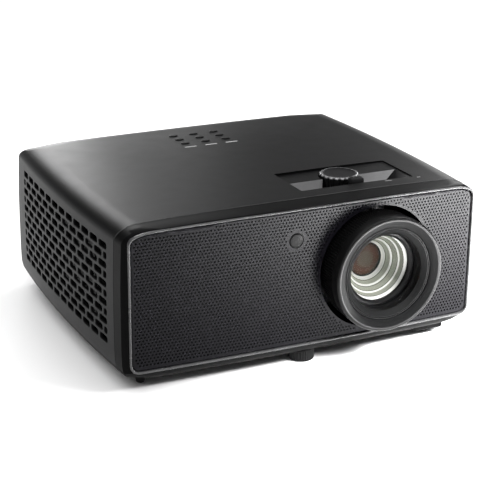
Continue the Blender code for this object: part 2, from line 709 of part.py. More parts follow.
node("imager_heat_sink", fins(40, 90, 11.0, 40, 36, 90, 5, 9, 1.6, 'Z'), (0.6, 0.6, 0.62), 0.9, 0.4)
src = node("laser_module", box(-112, -46, -62, 40, 10, 78), (0.12, 0.12, 0.13), 0.6, 0.4)
boolean(src, cutter("laser_step", box(-70, -40, -70, -20, 50, 90)))
bake(src)
node("laser_heat_sink", fins(-134, -112.4, -62, 40, 14, 92, 4, 15, 1.4, 'X'), (0.6, 0.6, 0.62), 0.9, 0.4)
WH = (-8.0, 58.0)
node("phosphor_wheel", turned([(0, -27.0), (26.0, -27.0), (26.0, -25.6), (9.0, -25.6), (9.0, -23.6), (0, -23.6)], WH, 36, close=False),
     (0.62, 0.55, 0.2), 0.5, 0.3, origin=(WH[0], -26, WH[1]))
node("wheel_motor", turned([(0, -23.0), (12.0, -23.0), (12.0, -8.5), (0, -8.5)], WH, 32, close=False), (0.2, 0.2, 0.21), 0.7, 0.4)
br = node("wheel_bracket", box(-38, 22, -8.0, -5.0, 2.8, 90), STEEL, 0.8, 0.4)
boolean(br, cutter("bracket_window", cyl(WH, 8.0, -12, 0, 'Y', n=24)))
bake(br)

# ---- electronics --------------------------------------------------------------
ps = node("power_supply", box(-112, -16, 50, 120, 10.0, 11.8), (0.03, 0.13, 0.05), rough=0.5)
blocks = join(box(-104, -70, 56, 90, 11.0, 42), box(-62, -40, 60, 100, 11.0, 38))
boolean(ps, cutter("supply_blocks", blocks), 'UNION')
boolean(ps, cutter("supply_capacitor", cyl((-28, 80), 8.5, 11.0, 40, n=24)), 'UNION')
bake(ps)
mb = node("main_board", box(-60, 92, 62, 136.5, 52.0, 53.6), (0.03, 0.13, 0.05), rough=0.5)
boolean(mb, cutter("board_chips", join(box(0, 30, 80, 110, 53.0, 56.5), box(-40, -22, 84, 102, 53.0, 55.5),
                                       box(50, 70, 80, 95, 53.0, 58.0))), 'UNION')
bake(mb)


def fan_frame(xc, yc, zc, s, t, r):
    bm = box(xc - t / 2, xc + t / 2, yc - s / 2, yc + s / 2, zc - s / 2, zc + s / 2)
    return bm


def fan_rotor(xc, yc, zc, r, hub, t, blades):
    """Hub with thin pitched blades, one closed solid after union."""
    return cyl((yc, zc), hub, xc - t / 2, xc + t / 2, 'X', n=28)


def make_fan(tag, xc, yc, zc, sgn):
    s, t, r = 80.0, 20.0, 37.5
    f = node("fan_frame_" + tag, fan_frame(xc, yc, zc, s, t, r), DARK, rough=0.5)
    boolean(f, cutter("fan_bore_" + tag, cyl((yc, zc), r, xc - 30, xc + 30, 'X', n=32)))
    hub = cyl((yc, zc), 13.0, xc - t / 2 * sgn if sgn > 0 else xc - t / 2 * sgn - 3.0, xc - t / 2 * sgn + 3.0 if sgn > 0 else xc - t / 2 * sgn, 'X', n=20)
    boolean(f, cutter("fan_seat_" + tag, hub), 'UNION')
    arms = bmesh.new()
    x0, x1 = (xc - t / 2, xc - t / 2 + 2.0) if sgn > 0 else (xc + t / 2 - 2.0, xc + t / 2)
    box(x0, x1, yc - 38.5, yc + 38.5, zc - 1.5, zc + 1.5, arms)
    boolean(f, cutter("fan_arm_a_" + tag, arms), 'UNION')
    boolean(f, cutter("fan_arm_b_" + tag, box(x0, x1, yc - 1.5, yc + 1.5, zc - 38.5, zc + 38.5)), 'UNION')
    bake(f)
    xr = xc + 1.9 * sgn
    tr = 13.6
    rotor = node("fan_rotor_" + tag, cyl((yc, zc), 14.0, xr - tr / 2, xr + tr / 2, 'X', n=28), (0.03, 0.03, 0.03), rough=0.45,
                 origin=(xr, yc, zc))
    bl = bmesh.new()
    for i in range(7):
        b = box(-1.0, 1.0, -5.5, 5.5, 12.5, 36.0)
        m = (Matrix.Translation((xr, yc, zc)) @ Matrix.Rotation(2 * math.pi * i / 7, 4, 'X') @
             Matrix.Rotation(math.radians(50), 4, 'Z'))
        bmesh.ops.transform(b, matrix=m, verts=b.verts)
        tmp = bpy.data.meshes.new("tmp")
        b.to_mesh(tmp)
        b.free()
        bl.from_mesh(tmp)
        bpy.data.meshes.remove(tmp)
    boolean(rotor, cutter("fan_blades_" + tag, bl), 'UNION')
    bake(rotor)
    return xr


make_fan("left", -150.0, -20.0, 56.0, 1)
make_fan("right", 150.0, 51.0, 56.0, -1)
sp = node("speaker", box(96, 128, 98, 136, 24, 82), BLACK, rough=0.6)
boolean(sp, cutter("speaker_cone", cyl((117, 53), 14.0, 124, 132, 'X', n=24, r2=15.0)))
bake(sp)

for c in list(CUTS.objects):
    c.hide_render = True
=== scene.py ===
import bpy
import bmesh
import math
import numpy as np
from mathutils import Vector, Matrix
from mathutils.geometry import delaunay_2d_cdt


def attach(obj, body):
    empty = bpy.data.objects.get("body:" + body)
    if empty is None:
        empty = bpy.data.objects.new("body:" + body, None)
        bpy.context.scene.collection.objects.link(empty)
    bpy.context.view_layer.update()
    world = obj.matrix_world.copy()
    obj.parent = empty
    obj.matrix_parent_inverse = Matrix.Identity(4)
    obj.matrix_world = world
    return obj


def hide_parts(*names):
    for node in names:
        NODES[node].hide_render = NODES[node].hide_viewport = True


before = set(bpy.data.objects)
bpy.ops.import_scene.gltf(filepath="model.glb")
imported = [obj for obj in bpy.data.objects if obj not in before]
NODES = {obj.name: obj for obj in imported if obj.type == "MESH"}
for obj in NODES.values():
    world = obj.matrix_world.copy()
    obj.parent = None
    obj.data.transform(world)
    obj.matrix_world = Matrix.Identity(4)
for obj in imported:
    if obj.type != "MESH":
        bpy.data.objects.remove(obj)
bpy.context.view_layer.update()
SCENE = bpy.context.scene

# Dimensions are in millimetres above the case floor, as in the part's own source.
FOOT, Y_SHIFT = 12.0, 11.25
HALF_FRONT, HALF_BACK, SIDE_BOW = 166.0, 165.3, 6.4
Y_FRONT, Y_BACK, FRONT_BOW, BACK_BOW = -144.0, 144.0, 4.0, 3.7
R_FRONT, R_BACK, TOP = 18.5, 30.0, 131.0
ROLL_W, ROLL_H, ROLL_Z, WALL = 25.0, 12.5, 116.9, 2.4
SEAM_Y, SEAM_Z, LIP_X, LIP_Z, GAP = -123.5, 7.0, 160.3, 8.6, 0.3
LENS_X, LENS_Z, LENS_TIP, FOCUS_R, OPENING_R = 64.4, 67.6, -170.2, 50.6, 54.9
LC = (LENS_X, LENS_Z)
REC = (11.0, 122.0, -107.0, -53.5)
REC_YM, WELL_Z, STEP_Z = -79.0, 119.0, 129.0
DIAL = (64.4, -76.0, 17.5, 121.0, 132.0)
LEVER_X, LEVER_Y = 68.0, -99.5
KEY_XS, KEY_YS, KEY_RX, KEY_RY = (-21.0, 0.0, 21.0), (99.0, 84.5, 70.0), 4.4, 2.7
IR = (-13.8, 102.7)


# ---------------------------------------------------------------- materials
def tree(name):
    m = bpy.data.materials.new(name)
    m.use_nodes = True
    nt = m.node_tree
    return m, nt, nt.nodes["Principled BSDF"]


def surface(name, rgb, rough=0.45, rough_var=0.06, grain=0.35, grain_mm=0.35, depth=0.06, metallic=0.0, spec=0.5,
            tint=0.15, coat=0.0, alpha=1.0, blotch_mm=18.0):
    """Moulded or painted finish: two close tones, uneven gloss and a fine surface grain."""
    m, nt, b = tree(name)
    L = nt.links.new
    tc = nt.nodes.new("ShaderNodeTexCoord")
    big = nt.nodes.new("ShaderNodeTexNoise")
    big.inputs["Scale"].default_value = 1000.0 / blotch_mm
    big.inputs["Detail"].default_value = 3.0
    L(tc.outputs["Object"], big.inputs["Vector"])
    fine = nt.nodes.new("ShaderNodeTexNoise")
    fine.inputs["Scale"].default_value = 1000.0 / grain_mm
    fine.inputs["Detail"].default_value = 2.0
    L(tc.outputs["Object"], fine.inputs["Vector"])
    ramp = nt.nodes.new("ShaderNodeValToRGB")
    e = ramp.color_ramp.elements
    e[0].position, e[1].position = 0.3, 0.7
    e[0].color = [c * (1 - tint) for c in rgb] + [1]
    e[1].color = [min(1.0, c * (1 + tint)) for c in rgb] + [1]
    mixf = nt.nodes.new("ShaderNodeMath")
    mixf.operation = 'MULTIPLY_ADD'
    mixf.inputs[1].default_value = 0.5
    L(big.outputs["Fac"], mixf.inputs[0])
    half = nt.nodes.new("ShaderNodeMath")
    half.operation = 'MULTIPLY'
    half.inputs[1].default_value = 0.5
    L(fine.outputs["Fac"], half.inputs[0])
    L(half.outputs[0], mixf.inputs[2])
    L(mixf.outputs[0], ramp.inputs["Fac"])
    L(ramp.outputs["Color"], b.inputs["Base Color"])
    rr = nt.nodes.new("ShaderNodeMapRange")
    rr.inputs["To Min"].default_value = max(0.02, rough - rough_var)
    rr.inputs["To Max"].default_value = min(1.0, rough + rough_var)
    L(big.outputs["Fac"], rr.inputs["Value"])
    L(rr.outputs["Result"], b.inputs["Roughness"])
    if grain > 0:
        bump = nt.nodes.new("ShaderNodeBump")
        bump.inputs["Strength"].default_value = grain
        bump.inputs["Distance"].default_value = depth * 0.001
        L(fine.outputs["Fac"], bump.inputs["Height"])
        L(bump.outputs["Normal"], b.inputs["Normal"])
    b.inputs["Metallic"].default_value = metallic
    b.inputs["Specular IOR Level"].default_value = spec
    if coat:
        b.inputs["Coat Weight"].default_value = coat
        b.inputs["Coat Roughness"].default_value = 0.08
    if alpha < 1:
        b.inputs["Alpha"].default_value = alpha
    return m


def turned_metal(name, rgb, rough, centre, axis, pitch_mm=0.25, spec=0.5, metallic=1.0, tint=0.1, cut=0.12):
    """Lathe-turned finish: very fine concentric lines round an axis."""
    m, nt, b = tree(name)
    L = nt.links.new
    tc = nt.nodes.new("ShaderNodeTexCoord")
    mp = nt.nodes.new("ShaderNodeMapping")
    c = ((centre[0]) * 0.001, 0.0, (centre[1] + FOOT) * 0.001) if axis == 'Y' else (centre[0] * 0.001, (centre[1] + Y_SHIFT) * 0.001, 0.0)
    mp.inputs["Location"].default_value = [-v for v in c]
    L(tc.outputs["Object"], mp.inputs["Vector"])
    sep = nt.nodes.new("ShaderNodeVectorMath")
    sep.operation = 'MULTIPLY'
    sep.inputs[1].default_value = (1, 0, 1) if axis == 'Y' else (1, 1, 0)
    L(mp.outputs["Vector"], sep.inputs[0])
    ln = nt.nodes.new("ShaderNodeVectorMath")
    ln.operation = 'LENGTH'
    L(sep.outputs["Vector"], ln.inputs[0])
    no = nt.nodes.new("ShaderNodeTexNoise")
    no.noise_dimensions = '1D'
    no.inputs["Scale"].default_value = 1000.0 / pitch_mm
    no.inputs["Detail"].default_value = 2.0
    L(ln.outputs["Value"], no.inputs["W"])
    ramp = nt.nodes.new("ShaderNodeValToRGB")
    e = ramp.color_ramp.elements
    e[0].position, e[1].position = 0.3, 0.7
    e[0].color = [v * (1 - tint) for v in rgb] + [1]
    e[1].color = [min(1.0, v * (1 + tint)) for v in rgb] + [1]
    L(no.outputs["Fac"], ramp.inputs["Fac"])
    L(ramp.outputs["Color"], b.inputs["Base Color"])
    rr = nt.nodes.new("ShaderNodeMapRange")
    rr.inputs["To Min"].default_value = max(0.03, rough - 0.05)
    rr.inputs["To Max"].default_value = rough + 0.05
    L(no.outputs["Fac"], rr.inputs["Value"])
    L(rr.outputs["Result"], b.inputs["Roughness"])
    bump = nt.nodes.new("ShaderNodeBump")
    bump.inputs["Strength"].default_value = cut
    bump.inputs["Distance"].default_value = 0.00002
    L(no.outputs["Fac"], bump.inputs["Height"])
    L(bump.outputs["Normal"], b.inputs["Normal"])
    b.inputs["Metallic"].default_value = metallic
    b.inputs["Specular IOR Level"].default_value = spec
    return m


def radial(name, centre, stops, rough=0.1, metallic=0.0, coat=0.6, spec=0.5):
    """Colour by distance from a centre in the lens plane: coated glass seen down the barrel. stops are (radius mm, rgb)."""
    m, nt, b = tree(name)
    L = nt.links.new
    tc = nt.nodes.new("ShaderNodeTexCoord")
    mp = nt.nodes.new("ShaderNodeMapping")
    mp.inputs["Location"].default_value = (-centre[0] * 0.001, 0.0, -(centre[1] + FOOT) * 0.001)
    L(tc.outputs["Object"], mp.inputs["Vector"])
    sep = nt.nodes.new("ShaderNodeVectorMath")
    sep.operation = 'MULTIPLY'
    sep.inputs[1].default_value = (1, 0, 1)
    L(mp.outputs["Vector"], sep.inputs[0])
    ln = nt.nodes.new("ShaderNodeVectorMath")
    ln.operation = 'LENGTH'
    L(sep.outputs["Vector"], ln.inputs[0])
    top = stops[-1][0]
    mr = nt.nodes.new("ShaderNodeMapRange")
    mr.inputs["From Max"].default_value = top * 0.001
    L(ln.outputs["Value"], mr.inputs["Value"])
    ramp = nt.nodes.new("ShaderNodeValToRGB")
    cr = ramp.color_ramp
    while len(cr.elements) > 1:
        cr.elements.remove(cr.elements[-1])
    cr.elements[0].position = stops[0][0] / top
    cr.elements[0].color = list(stops[0][1]) + [1]
    for r, c in stops[1:]:
        el = cr.elements.new(r / top)
        el.color = list(c) + [1]
    L(mr.outputs["Result"], ramp.inputs["Fac"])
    L(ramp.outputs["Color"], b.inputs["Base Color"])
    b.inputs["Roughness"].default_value = rough
    b.inputs["Metallic"].default_value = metallic
    b.inputs["Specular IOR Level"].default_value = spec
    b.inputs["Coat Weight"].default_value = coat
    b.inputs["Coat Roughness"].default_value = 0.03
    return m


M = {}
M["shell"] = surface("shell_black", (0.0042, 0.0042, 0.0044), 0.38, 0.04, 0.4, 0.45, 0.05, spec=0.09)
M["bezel"] = surface("bezel_black", (0.0032, 0.0032, 0.0033), 0.34, 0.05, 0.3, 0.4, 0.05, spec=0.03)
# lighter grey for the rounded lip and the seam ridge: a painted highlight line on black bezel edges
M["bead"] = surface("bezel_lip_painted_highlight", (0.05, 0.05, 0.051), 0.28, 0.04, 0.15, 0.4, 0.03, spec=0.4)
M["panel"] = surface("panel_mesh", (0.0034, 0.0031, 0.0044), 0.27, 0.03, 0.15, 0.3, 0.03, spec=0.10)
# near-black dimple floors and walls: painted shade inside the grille perforations
M["hole"] = surface("panel_dimple_painted_shade", (0.0006, 0.0006, 0.0007), 0.6, 0.03, 0.15, 0.3, 0.02, spec=0.0)
M["ir"] = surface("ir_window_plastic", (0.0062, 0.0062, 0.0063), 0.32, 0.03, 0.05, 0.6, 0.01, spec=0.08)
M["base"] = surface("base_black", (0.005, 0.005, 0.0051), 0.5, 0.05, 0.5, 0.5, 0.08, spec=0.05)
M["tray"] = surface("tray_black", (0.005, 0.005, 0.0052), 0.42, 0.05, 0.4, 0.4, 0.05, spec=0.08)
# light grey stands for front light falling on the well's back wall of the black tray: painted light
M["well"] = surface("tray_wall_painted_light", (0.260, 0.260, 0.264), 0.40, 0.05, 0.3, 0.4, 0.04)
M["dial"] = surface("dial_side", (0.010, 0.010, 0.0105), 0.30, 0.05, 0.25, 0.3, 0.04, spec=0.3)
M["dial_top"] = turned_metal("dial_top_satin", (0.009, 0.009, 0.0095), 0.40, DIAL[:2], 'Z', 0.35, metallic=0.05, spec=0.06)
M["dial_rim"] = turned_metal("dial_rim_bright", (0.22, 0.22, 0.225), 0.28, DIAL[:2], 'Z', 0.3, metallic=0.7)
M["lever"] = surface("lever_grey", (0.012, 0.012, 0.0125), 0.36, 0.05, 0.3, 0.3, 0.04, spec=0.08)
M["key"] = surface("key_rubber", (0.003, 0.003, 0.0032), 0.45, 0.05, 0.3, 0.3, 0.05, spec=0.12)
M["print"] = surface("white_print", (0.40, 0.40, 0.40), 0.5, 0.04, 0.2, 0.25, 0.02)
M["print_dim"] = surface("grey_print", (0.16, 0.16, 0.16), 0.5, 0.04, 0.2, 0.25, 0.02)
M["foot"] = surface("foot_rubber", (0.011, 0.011, 0.0112), 0.6, 0.06, 0.5, 0.5, 0.08, spec=0.15)
M["ring"] = surface("focus_ring_black", (0.0045, 0.0045, 0.0046), 0.30, 0.05, 0.3, 0.35, 0.05, spec=0.12)
M["lip"] = turned_metal("focus_ring_lip", (0.022, 0.022, 0.0225), 0.3, LC, 'Y', 0.3, metallic=0.1, spec=0.2)
M["face"] = turned_metal("focus_ring_face", (0.0050, 0.0051, 0.0052), 0.33, LC, 'Y', 0.4, metallic=0.05, spec=0.05)
M["face2"] = turned_metal("barrel_face", (0.0062, 0.0063, 0.0064), 0.33, LC, 'Y', 0.4, metallic=0.05, spec=0.06)
M["cone"] = surface("barrel_black", (0.003, 0.003, 0.0032), 0.4, 0.05, 0.2, 0.3, 0.04, spec=0.15)
# near-white and green-grey tones in the lens throat stand for reflections of the lights: painted reflection
M["silver"] = turned_metal("retainer_painted_reflection", (0.80, 0.80, 0.77), 0.36, LC, 'Y', 1.2, metallic=0.45, cut=0.01)
M["silver2"] = turned_metal("inner_painted_reflection_green", (0.30, 0.31, 0.255), 0.36, LC, 'Y', 1.2, metallic=0.4, cut=0.01)
M["green"] = turned_metal("inner_painted_reflection_dark", (0.085, 0.095, 0.060), 0.38, LC, 'Y', 1.2, metallic=0.4, cut=0.01)
M["steel"] = surface("stamped_steel", (0.55, 0.56, 0.57), 0.32, 0.06, 0.15, 0.6, 0.02, metallic=1.0)
M["alu"] = surface("cast_aluminium", (0.42, 0.43, 0.44), 0.42, 0.08, 0.4, 0.7, 0.06, metallic=0.9)
M["fin"] = surface("extruded_fins", (0.55, 0.56, 0.57), 0.36, 0.06, 0.2, 0.6, 0.03, metallic=1.0)
M["dark"] = surface("inner_dark_plastic", (0.018, 0.018, 0.019), 0.5, 0.06, 0.3, 0.5, 0.05)
M["fan"] = surface("fan_plastic", (0.012, 0.012, 0.013), 0.42, 0.06, 0.25, 0.5, 0.05)
M["pcb"] = surface("circuit_board", (0.012, 0.07, 0.03), 0.35, 0.08, 0.3, 1.4, 0.05, spec=0.6, tint=0.35, blotch_mm=6)
M["module"] = surface("module_housing", (0.07, 0.07, 0.074), 0.42, 0.06, 0.3, 0.6, 0.05, metallic=0.5)
M["phosphor"] = surface("phosphor_coating", (0.55, 0.46, 0.10), 0.5, 0.08, 0.4, 0.3, 0.04, metallic=0.3)
M["screw"] = surface("screw_black_zinc", (0.06, 0.06, 0.062), 0.3, 0.05, 0.15, 0.4, 0.02, metallic=0.9)
M["socket"] = surface("socket_shell", (0.5, 0.5, 0.49), 0.27, 0.05, 0.1, 0.5, 0.02, metallic=1.0)
M["speaker"] = surface("speaker_box", (0.014, 0.014, 0.015), 0.6, 0.05, 0.4, 0.6, 0.06)
M["rear"] = surface("rear_panel", (0.026, 0.026, 0.027), 0.5, 0.05, 0.6, 0.6, 0.09)

# coated glass: a thin, mostly clear skin with a faint green-grey tone
M["glass"], _nt, _b = tree("coated_glass")
_no = _nt.nodes.new("ShaderNodeTexNoise")
_no.inputs["Scale"].default_value = 60.0
_tc = _nt.nodes.new("ShaderNodeTexCoord")
_nt.links.new(_tc.outputs["Object"], _no.inputs["Vector"])
_mr = _nt.nodes.new("ShaderNodeMapRange")
_mr.inputs["To Min"].default_value, _mr.inputs["To Max"].default_value = 0.05, 0.08
_nt.links.new(_no.outputs["Fac"], _mr.inputs["Value"])
_nt.links.new(_mr.outputs["Result"], _b.inputs["Roughness"])
_b.inputs["Base Color"].default_value = (0.02, 0.03, 0.025, 1)
_b.inputs["Alpha"].default_value = 0.10
_b.inputs["Specular IOR Level"].default_value = 0.25
M["amber"] = radial("amber_element", LC, [(0.0, (0.060, 0.045, 0.028)), (4.0, (0.050, 0.034, 0.022)), (7.2, (0.062, 0.040, 0.026)),
                                         (7.9, (0.036, 0.012, 0.006)), (11.0, (0.055, 0.015, 0.007)), (15.0, (0.022, 0.007, 0.004))], 0.45, coat=0.0, spec=0.08)


# ---------------------------------------------------------------- mesh helpers, millimetres
HALF_WIDTH = 171.84


def to_object(name, bm, mats, smooth=32.0):
    for v in bm.verts:
        v.co = Vector((max(-HALF_WIDTH, min(HALF_WIDTH, v.co.x)), v.co.y + Y_SHIFT, v.co.z + FOOT)) * 0.001
    me = bpy.data.meshes.new(name)
    bm.normal_update()
    bm.to_mesh(me)
    bm.free()
    for m in mats:
        me.materials.append(m)
    me.shade_smooth()
    me.set_sharp_from_angle(angle=math.radians(smooth))
    ob = bpy.data.objects.new(name, me)
    SCENE.collection.objects.link(ob)
    return ob


def piece(name, bm, body, mats, replaces=(), smooth=32.0):
    ob = to_object(name, bm, mats if isinstance(mats, (list, tuple)) else [mats], smooth)
    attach(ob, body)
    if replaces:
        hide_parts(*replaces)
    return ob


def cut(bm, tool, op='DIFFERENCE', solver='MANIFOLD'):
    """Boolean of two closed bmeshes; both are used up and a new bmesh comes back."""
    obs = []
    for tag, b in (("a", bm), ("b", tool)):
        me = bpy.data.meshes.new("tmp_" + tag)
        b.to_mesh(me)
        b.free()
        ob = bpy.data.objects.new("tmp_" + tag, me)
        SCENE.collection.objects.link(ob)
        obs.append(ob)
    md = obs[0].modifiers.new("b", 'BOOLEAN')
    md.operation, md.solver, md.object = op, solver, obs[1]
    dg = bpy.context.evaluated_depsgraph_get()
    res = bpy.data.meshes.new_from_object(obs[0].evaluated_get(dg))
    out = bmesh.new()
    out.from_mesh(res)
    for ob in obs:
        me = ob.data
        bpy.data.objects.remove(ob, do_unlink=True)
        bpy.data.meshes.remove(me)
    bpy.data.meshes.remove(res)
    bmesh.ops.remove_doubles(out, verts=out.verts, dist=0.002)
    return out


def add(bm, other):
    me = bpy.data.meshes.new("tmp")
    other.to_mesh(me)
    other.free()
    bm.from_mesh(me)
    bpy.data.meshes.remove(me)
    return bm


def box(x0, x1, y0, y1, z0, z1, bm=None):
    bm = bm or bmesh.new()
    m = Matrix.Translation(((x0 + x1) / 2, (y0 + y1) / 2, (z0 + z1) / 2)) @ Matrix.Diagonal((x1 - x0, y1 - y0, z1 - z0, 1))
    bmesh.ops.create_cube(bm, size=1.0, matrix=m)
    return bm


def rounded(x0, x1, y0, y1, r, n=6):
    """Rounded rectangle outline, counter-clockwise."""
    p = []
    for cx, cy, a0 in ((x1 - r, y0 + r, -90), (x1 - r, y1 - r, 0), (x0 + r, y1 - r, 90), (x0 + r, y0 + r, 180)):
        for i in range(n + 1):
            a = math.radians(a0 + 90 * i / n)
            p.append((cx + r * math.cos(a), cy + r * math.sin(a)))
    return p


def circle(c, r, n, ry=None):
    return [(c[0] + r * math.cos(2 * math.pi * i / n), c[1] + (ry or r) * math.sin(2 * math.pi * i / n)) for i in range(n)]


def loft(rings, bm=None, cap=True):
    bm = bm or bmesh.new()
    R = [[bm.verts.new(p) for p in ring] for ring in rings]
    new = []
    n = len(R[0])
    for A, B in zip(R[:-1], R[1:]):
        for i in range(n):
            j = (i + 1) % n
            new.append(bm.faces.new((A[i], A[j], B[j], B[i])))
    if cap:
        new.append(bm.faces.new(R[0]))
        new.append(bm.faces.new(R[-1]))
    bmesh.ops.recalc_face_normals(bm, faces=new)
    return bm


def at(axis, a, b, h):
    return {'Y': (a, h, b), 'Z': (a, b, h), 'X': (h, a, b)}[axis]


def prism(points, h0, h1, axis='Z', chamfer=0.0, bm=None):
    """Extruded outline with an optional small chamfer on both ends."""
    cx = sum(p[0] for p in points) / len(points)
    cy = sum(p[1] for p in points) / len(points)
    hx = max(abs(p[0] - cx) for p in points)
    hy = max(abs(p[1] - cy) for p in points)

    def scaled(c):
        return [(cx + (x - cx) * (1 - c / hx), cy + (y - cy) * (1 - c / hy)) for x, y in points]
    lv = [(h0, 0.0), (h1, 0.0)]
    if chamfer:
        lv = [(h0, chamfer), (h0 + chamfer, 0.0), (h1 - chamfer, 0.0), (h1, chamfer)]
    return loft([[at(axis, x, y, h) for x, y in scaled(c)] for h, c in lv], bm)


def turned(profile, c, n=128, axis='Y', close=True, mats=None):
    """Revolved profile of (radius, position). mats gives the material index of each band."""
    bm = bmesh.new()
    rings = []
    for r, h in profile:
        if r < 1e-6:
            rings.append([bm.verts.new(at(axis, c[0], c[1], h))])
        else:
            rings.append([bm.verts.new(at(axis, x, y, h)) for x, y in circle(c, r, n)])
    pairs = list(zip(rings[:-1], rings[1:]))
    if close:
        pairs.append((rings[-1], rings[0]))
    for k, (A, B) in enumerate(pairs):
        if len(A) == 1 and len(B) == 1:
            continue
        for i in range(n):
            j = (i + 1) % n
            if len(A) == 1:
                f = bm.faces.new((A[0], B[j], B[i]))
            elif len(B) == 1:
                f = bm.faces.new((A[i], A[j], B[0]))
            else:
                f = bm.faces.new((A[i], A[j], B[j], B[i]))
            if mats:
                f.material_index = mats[k]
    bmesh.ops.recalc_face_normals(bm, faces=bm.faces)
    return bm


# ---------------------------------------------------------------- case form
def hull2d(pts):
    pts = sorted(set((round(x, 6), round(y, 6)) for x, y in pts))

    def half(seq):
        out = []
        for p in seq:
            while len(out) >= 2 and ((out[-1][0] - out[-2][0]) * (p[1] - out[-2][1]) -
                                     (out[-1][1] - out[-2][1]) * (p[0] - out[-2][0])) <= 1e-9:
                out.pop()
            out.append(p)
        return out
    lo = half(pts)
    hi = half(reversed(pts))
    return lo[:-1] + hi[:-1]


def plan_outline(nf=16, ns=40, nb=20, nx=30):
    p = []
    for i in range(nf + 1):
        a = -math.pi / 2 + math.pi / 2 * i / nf
        p.append((HALF_FRONT - R_FRONT + R_FRONT * math.cos(a), Y_FRONT + R_FRONT + R_FRONT * math.sin(a)))
    for i in range(1, ns):
        s = i / ns
        p.append((HALF_FRONT + (HALF_BACK - HALF_FRONT) * s + SIDE_BOW * 4 * s * (1 - s), Y_FRONT + (Y_BACK - Y_FRONT) * s))
    for i in range(nb + 1):
        a = math.pi / 2 * i / nb
        p.append((HALF_BACK - R_BACK + R_BACK * math.cos(a), Y_BACK - R_BACK + R_BACK * math.sin(a)))
    for i in range(nx):
        x = (HALF_FRONT - R_FRONT) * i / nx
        p.append((x, Y_FRONT - FRONT_BOW * (1 - (x / HALF_FRONT) ** 2)))
        x = (HALF_BACK - R_BACK) * i / nx
        p.append((x, Y_BACK + BACK_BOW * (1 - (x / HALF_BACK) ** 2)))
    return hull2d(p + [(-x, y) for x, y in p])


PLAN = plan_outline()
PX = max(x for x, y in PLAN)
PY0 = min(y for x, y in PLAN)
PY1 = max(y for x, y in PLAN)
_px = np.array([p[0] for p in PLAN])
_py = np.array([p[1] for p in PLAN])


def front_y(x):
    return Y_FRONT - FRONT_BOW * (1 - (x / HALF_FRONT) ** 2)


def section(z, ix, ib, f):
    y0, y1 = PY0 + f, PY1 - ib
    kx = 1 - ix / PX
    return [(x * kx, y0 + (y - PY0) * (y1 - y0) / (PY1 - PY0), z) for x, y in PLAN]


def lerp_table(pts, v):
    for (a, z0), (b, z1) in zip(pts[:-1], pts[1:]):
        if a <= v <= b:
            return z0 + (z1 - z0) * (v - a) / (b - a)
    return pts[-1][1] if v > pts[-1][0] else pts[0][1]


def case_levels(steps=16):
    low = [(0.0, 9.0, 5.0), (1.5, 5.4, 3.0), (4.0, 2.7, 1.2), (SEAM_Z, 1.3, 0.0), (13.0, 0.3, 0.0), (24.0, 0.0, 0.0),
           (52.0, 0.05, 0.0), (80.0, 0.3, 0.0), (100.0, 0.9, 0.0), (ROLL_Z, 1.6, 0.0)]
    L = [(z, i, i, f) for z, i, f in low]
    for k in range(1, steps + 1):
        a = math.pi / 2 * k / steps
        i = 1.6 + ROLL_W * (1 - math.cos(a))
        L.append((ROLL_Z + ROLL_H * math.sin(a), i, i, 0.0))
    z0, i0 = ROLL_Z + ROLL_H, 1.6 + ROLL_W
    for t in (0.1, 0.22, 0.36, 0.52, 0.7, 0.86, 1.0):
        i = i0 + (132.0 - i0) * t
        L.append((z0 + (TOP - z0) * (1 - (1 - t) ** 2.2), i, i, 0.0))
    return L


LEVELS = case_levels()
ROLL = sorted((ix, z) for z, ix, ib, f in LEVELS if z >= ROLL_Z - 0.01)


def crown(x):
    k = HALF_FRONT / PX
    pts = sorted(((PX - ix) * k, z) for ix, z in ROLL)
    return TOP if abs(x) <= pts[0][0] else lerp_table(pts, abs(x))


def top_at(x, y):
    return lerp_table(ROLL, min(PX - abs(x), PY1 - y))


def side_x(y, z):
    """Distance of the side face from the middle plane."""
    ins = lerp_table([(lv[0], lv[1]) for lv in LEVELS if lv[0] <= ROLL_Z], z)
    m = (_px > 100)
    order = np.argsort(_py[m])
    return float(np.interp(y, _py[m][order], _px[m][order])) * (1 - ins / PX)


def case_outer():
    return loft([section(*lv) for lv in LEVELS])


def case_inner():
    k = (TOP - 2 * WALL - 0.1) / TOP
    return loft([section(WALL + z * k, ix + WALL, ib + WALL, f + WALL) for z, ix, ib, f in LEVELS[::2] + LEVELS[-1:]])


def front_opening(inset, r=7.0, n=8, dense=True):
    """Front opening outline in (x, z); its top follows the crown."""
    zb, xs = LIP_Z + inset, LIP_X - inset
    right = [(x * (xs - r) / 40.0, zb) for x in range(0, 40)]
    for i in range(n + 1):
        a = -math.pi / 2 + math.pi / 2 * i / n
        right.append((xs - r + r * math.cos(a), zb + r + r * math.sin(a)))
    for i in range(1, 24):
        right.append((xs, zb + r + (117.5 - inset - zb - r) * i / 24))
    right.append((xs, 117.5 - inset))
    top = [(160.0, 119.8), (158.0, crown(158.0) - 2.5), (154.0, crown(154.0) - 2.5), (148.0, crown(148.0) - 2.5)]
    x = 140.0
    while x > 2:
        top.append((x, crown(x) - 2.5))
        x -= 4.0
    for x, z in top:
        if x < xs - 0.2:
            right.append((min(x - inset * 0.4, xs), z - inset))
    right.append((0.0, crown(0) - 2.5 - inset))
    left = [(-x, z) for x, z in reversed(right[1:-1])]
    return right + left


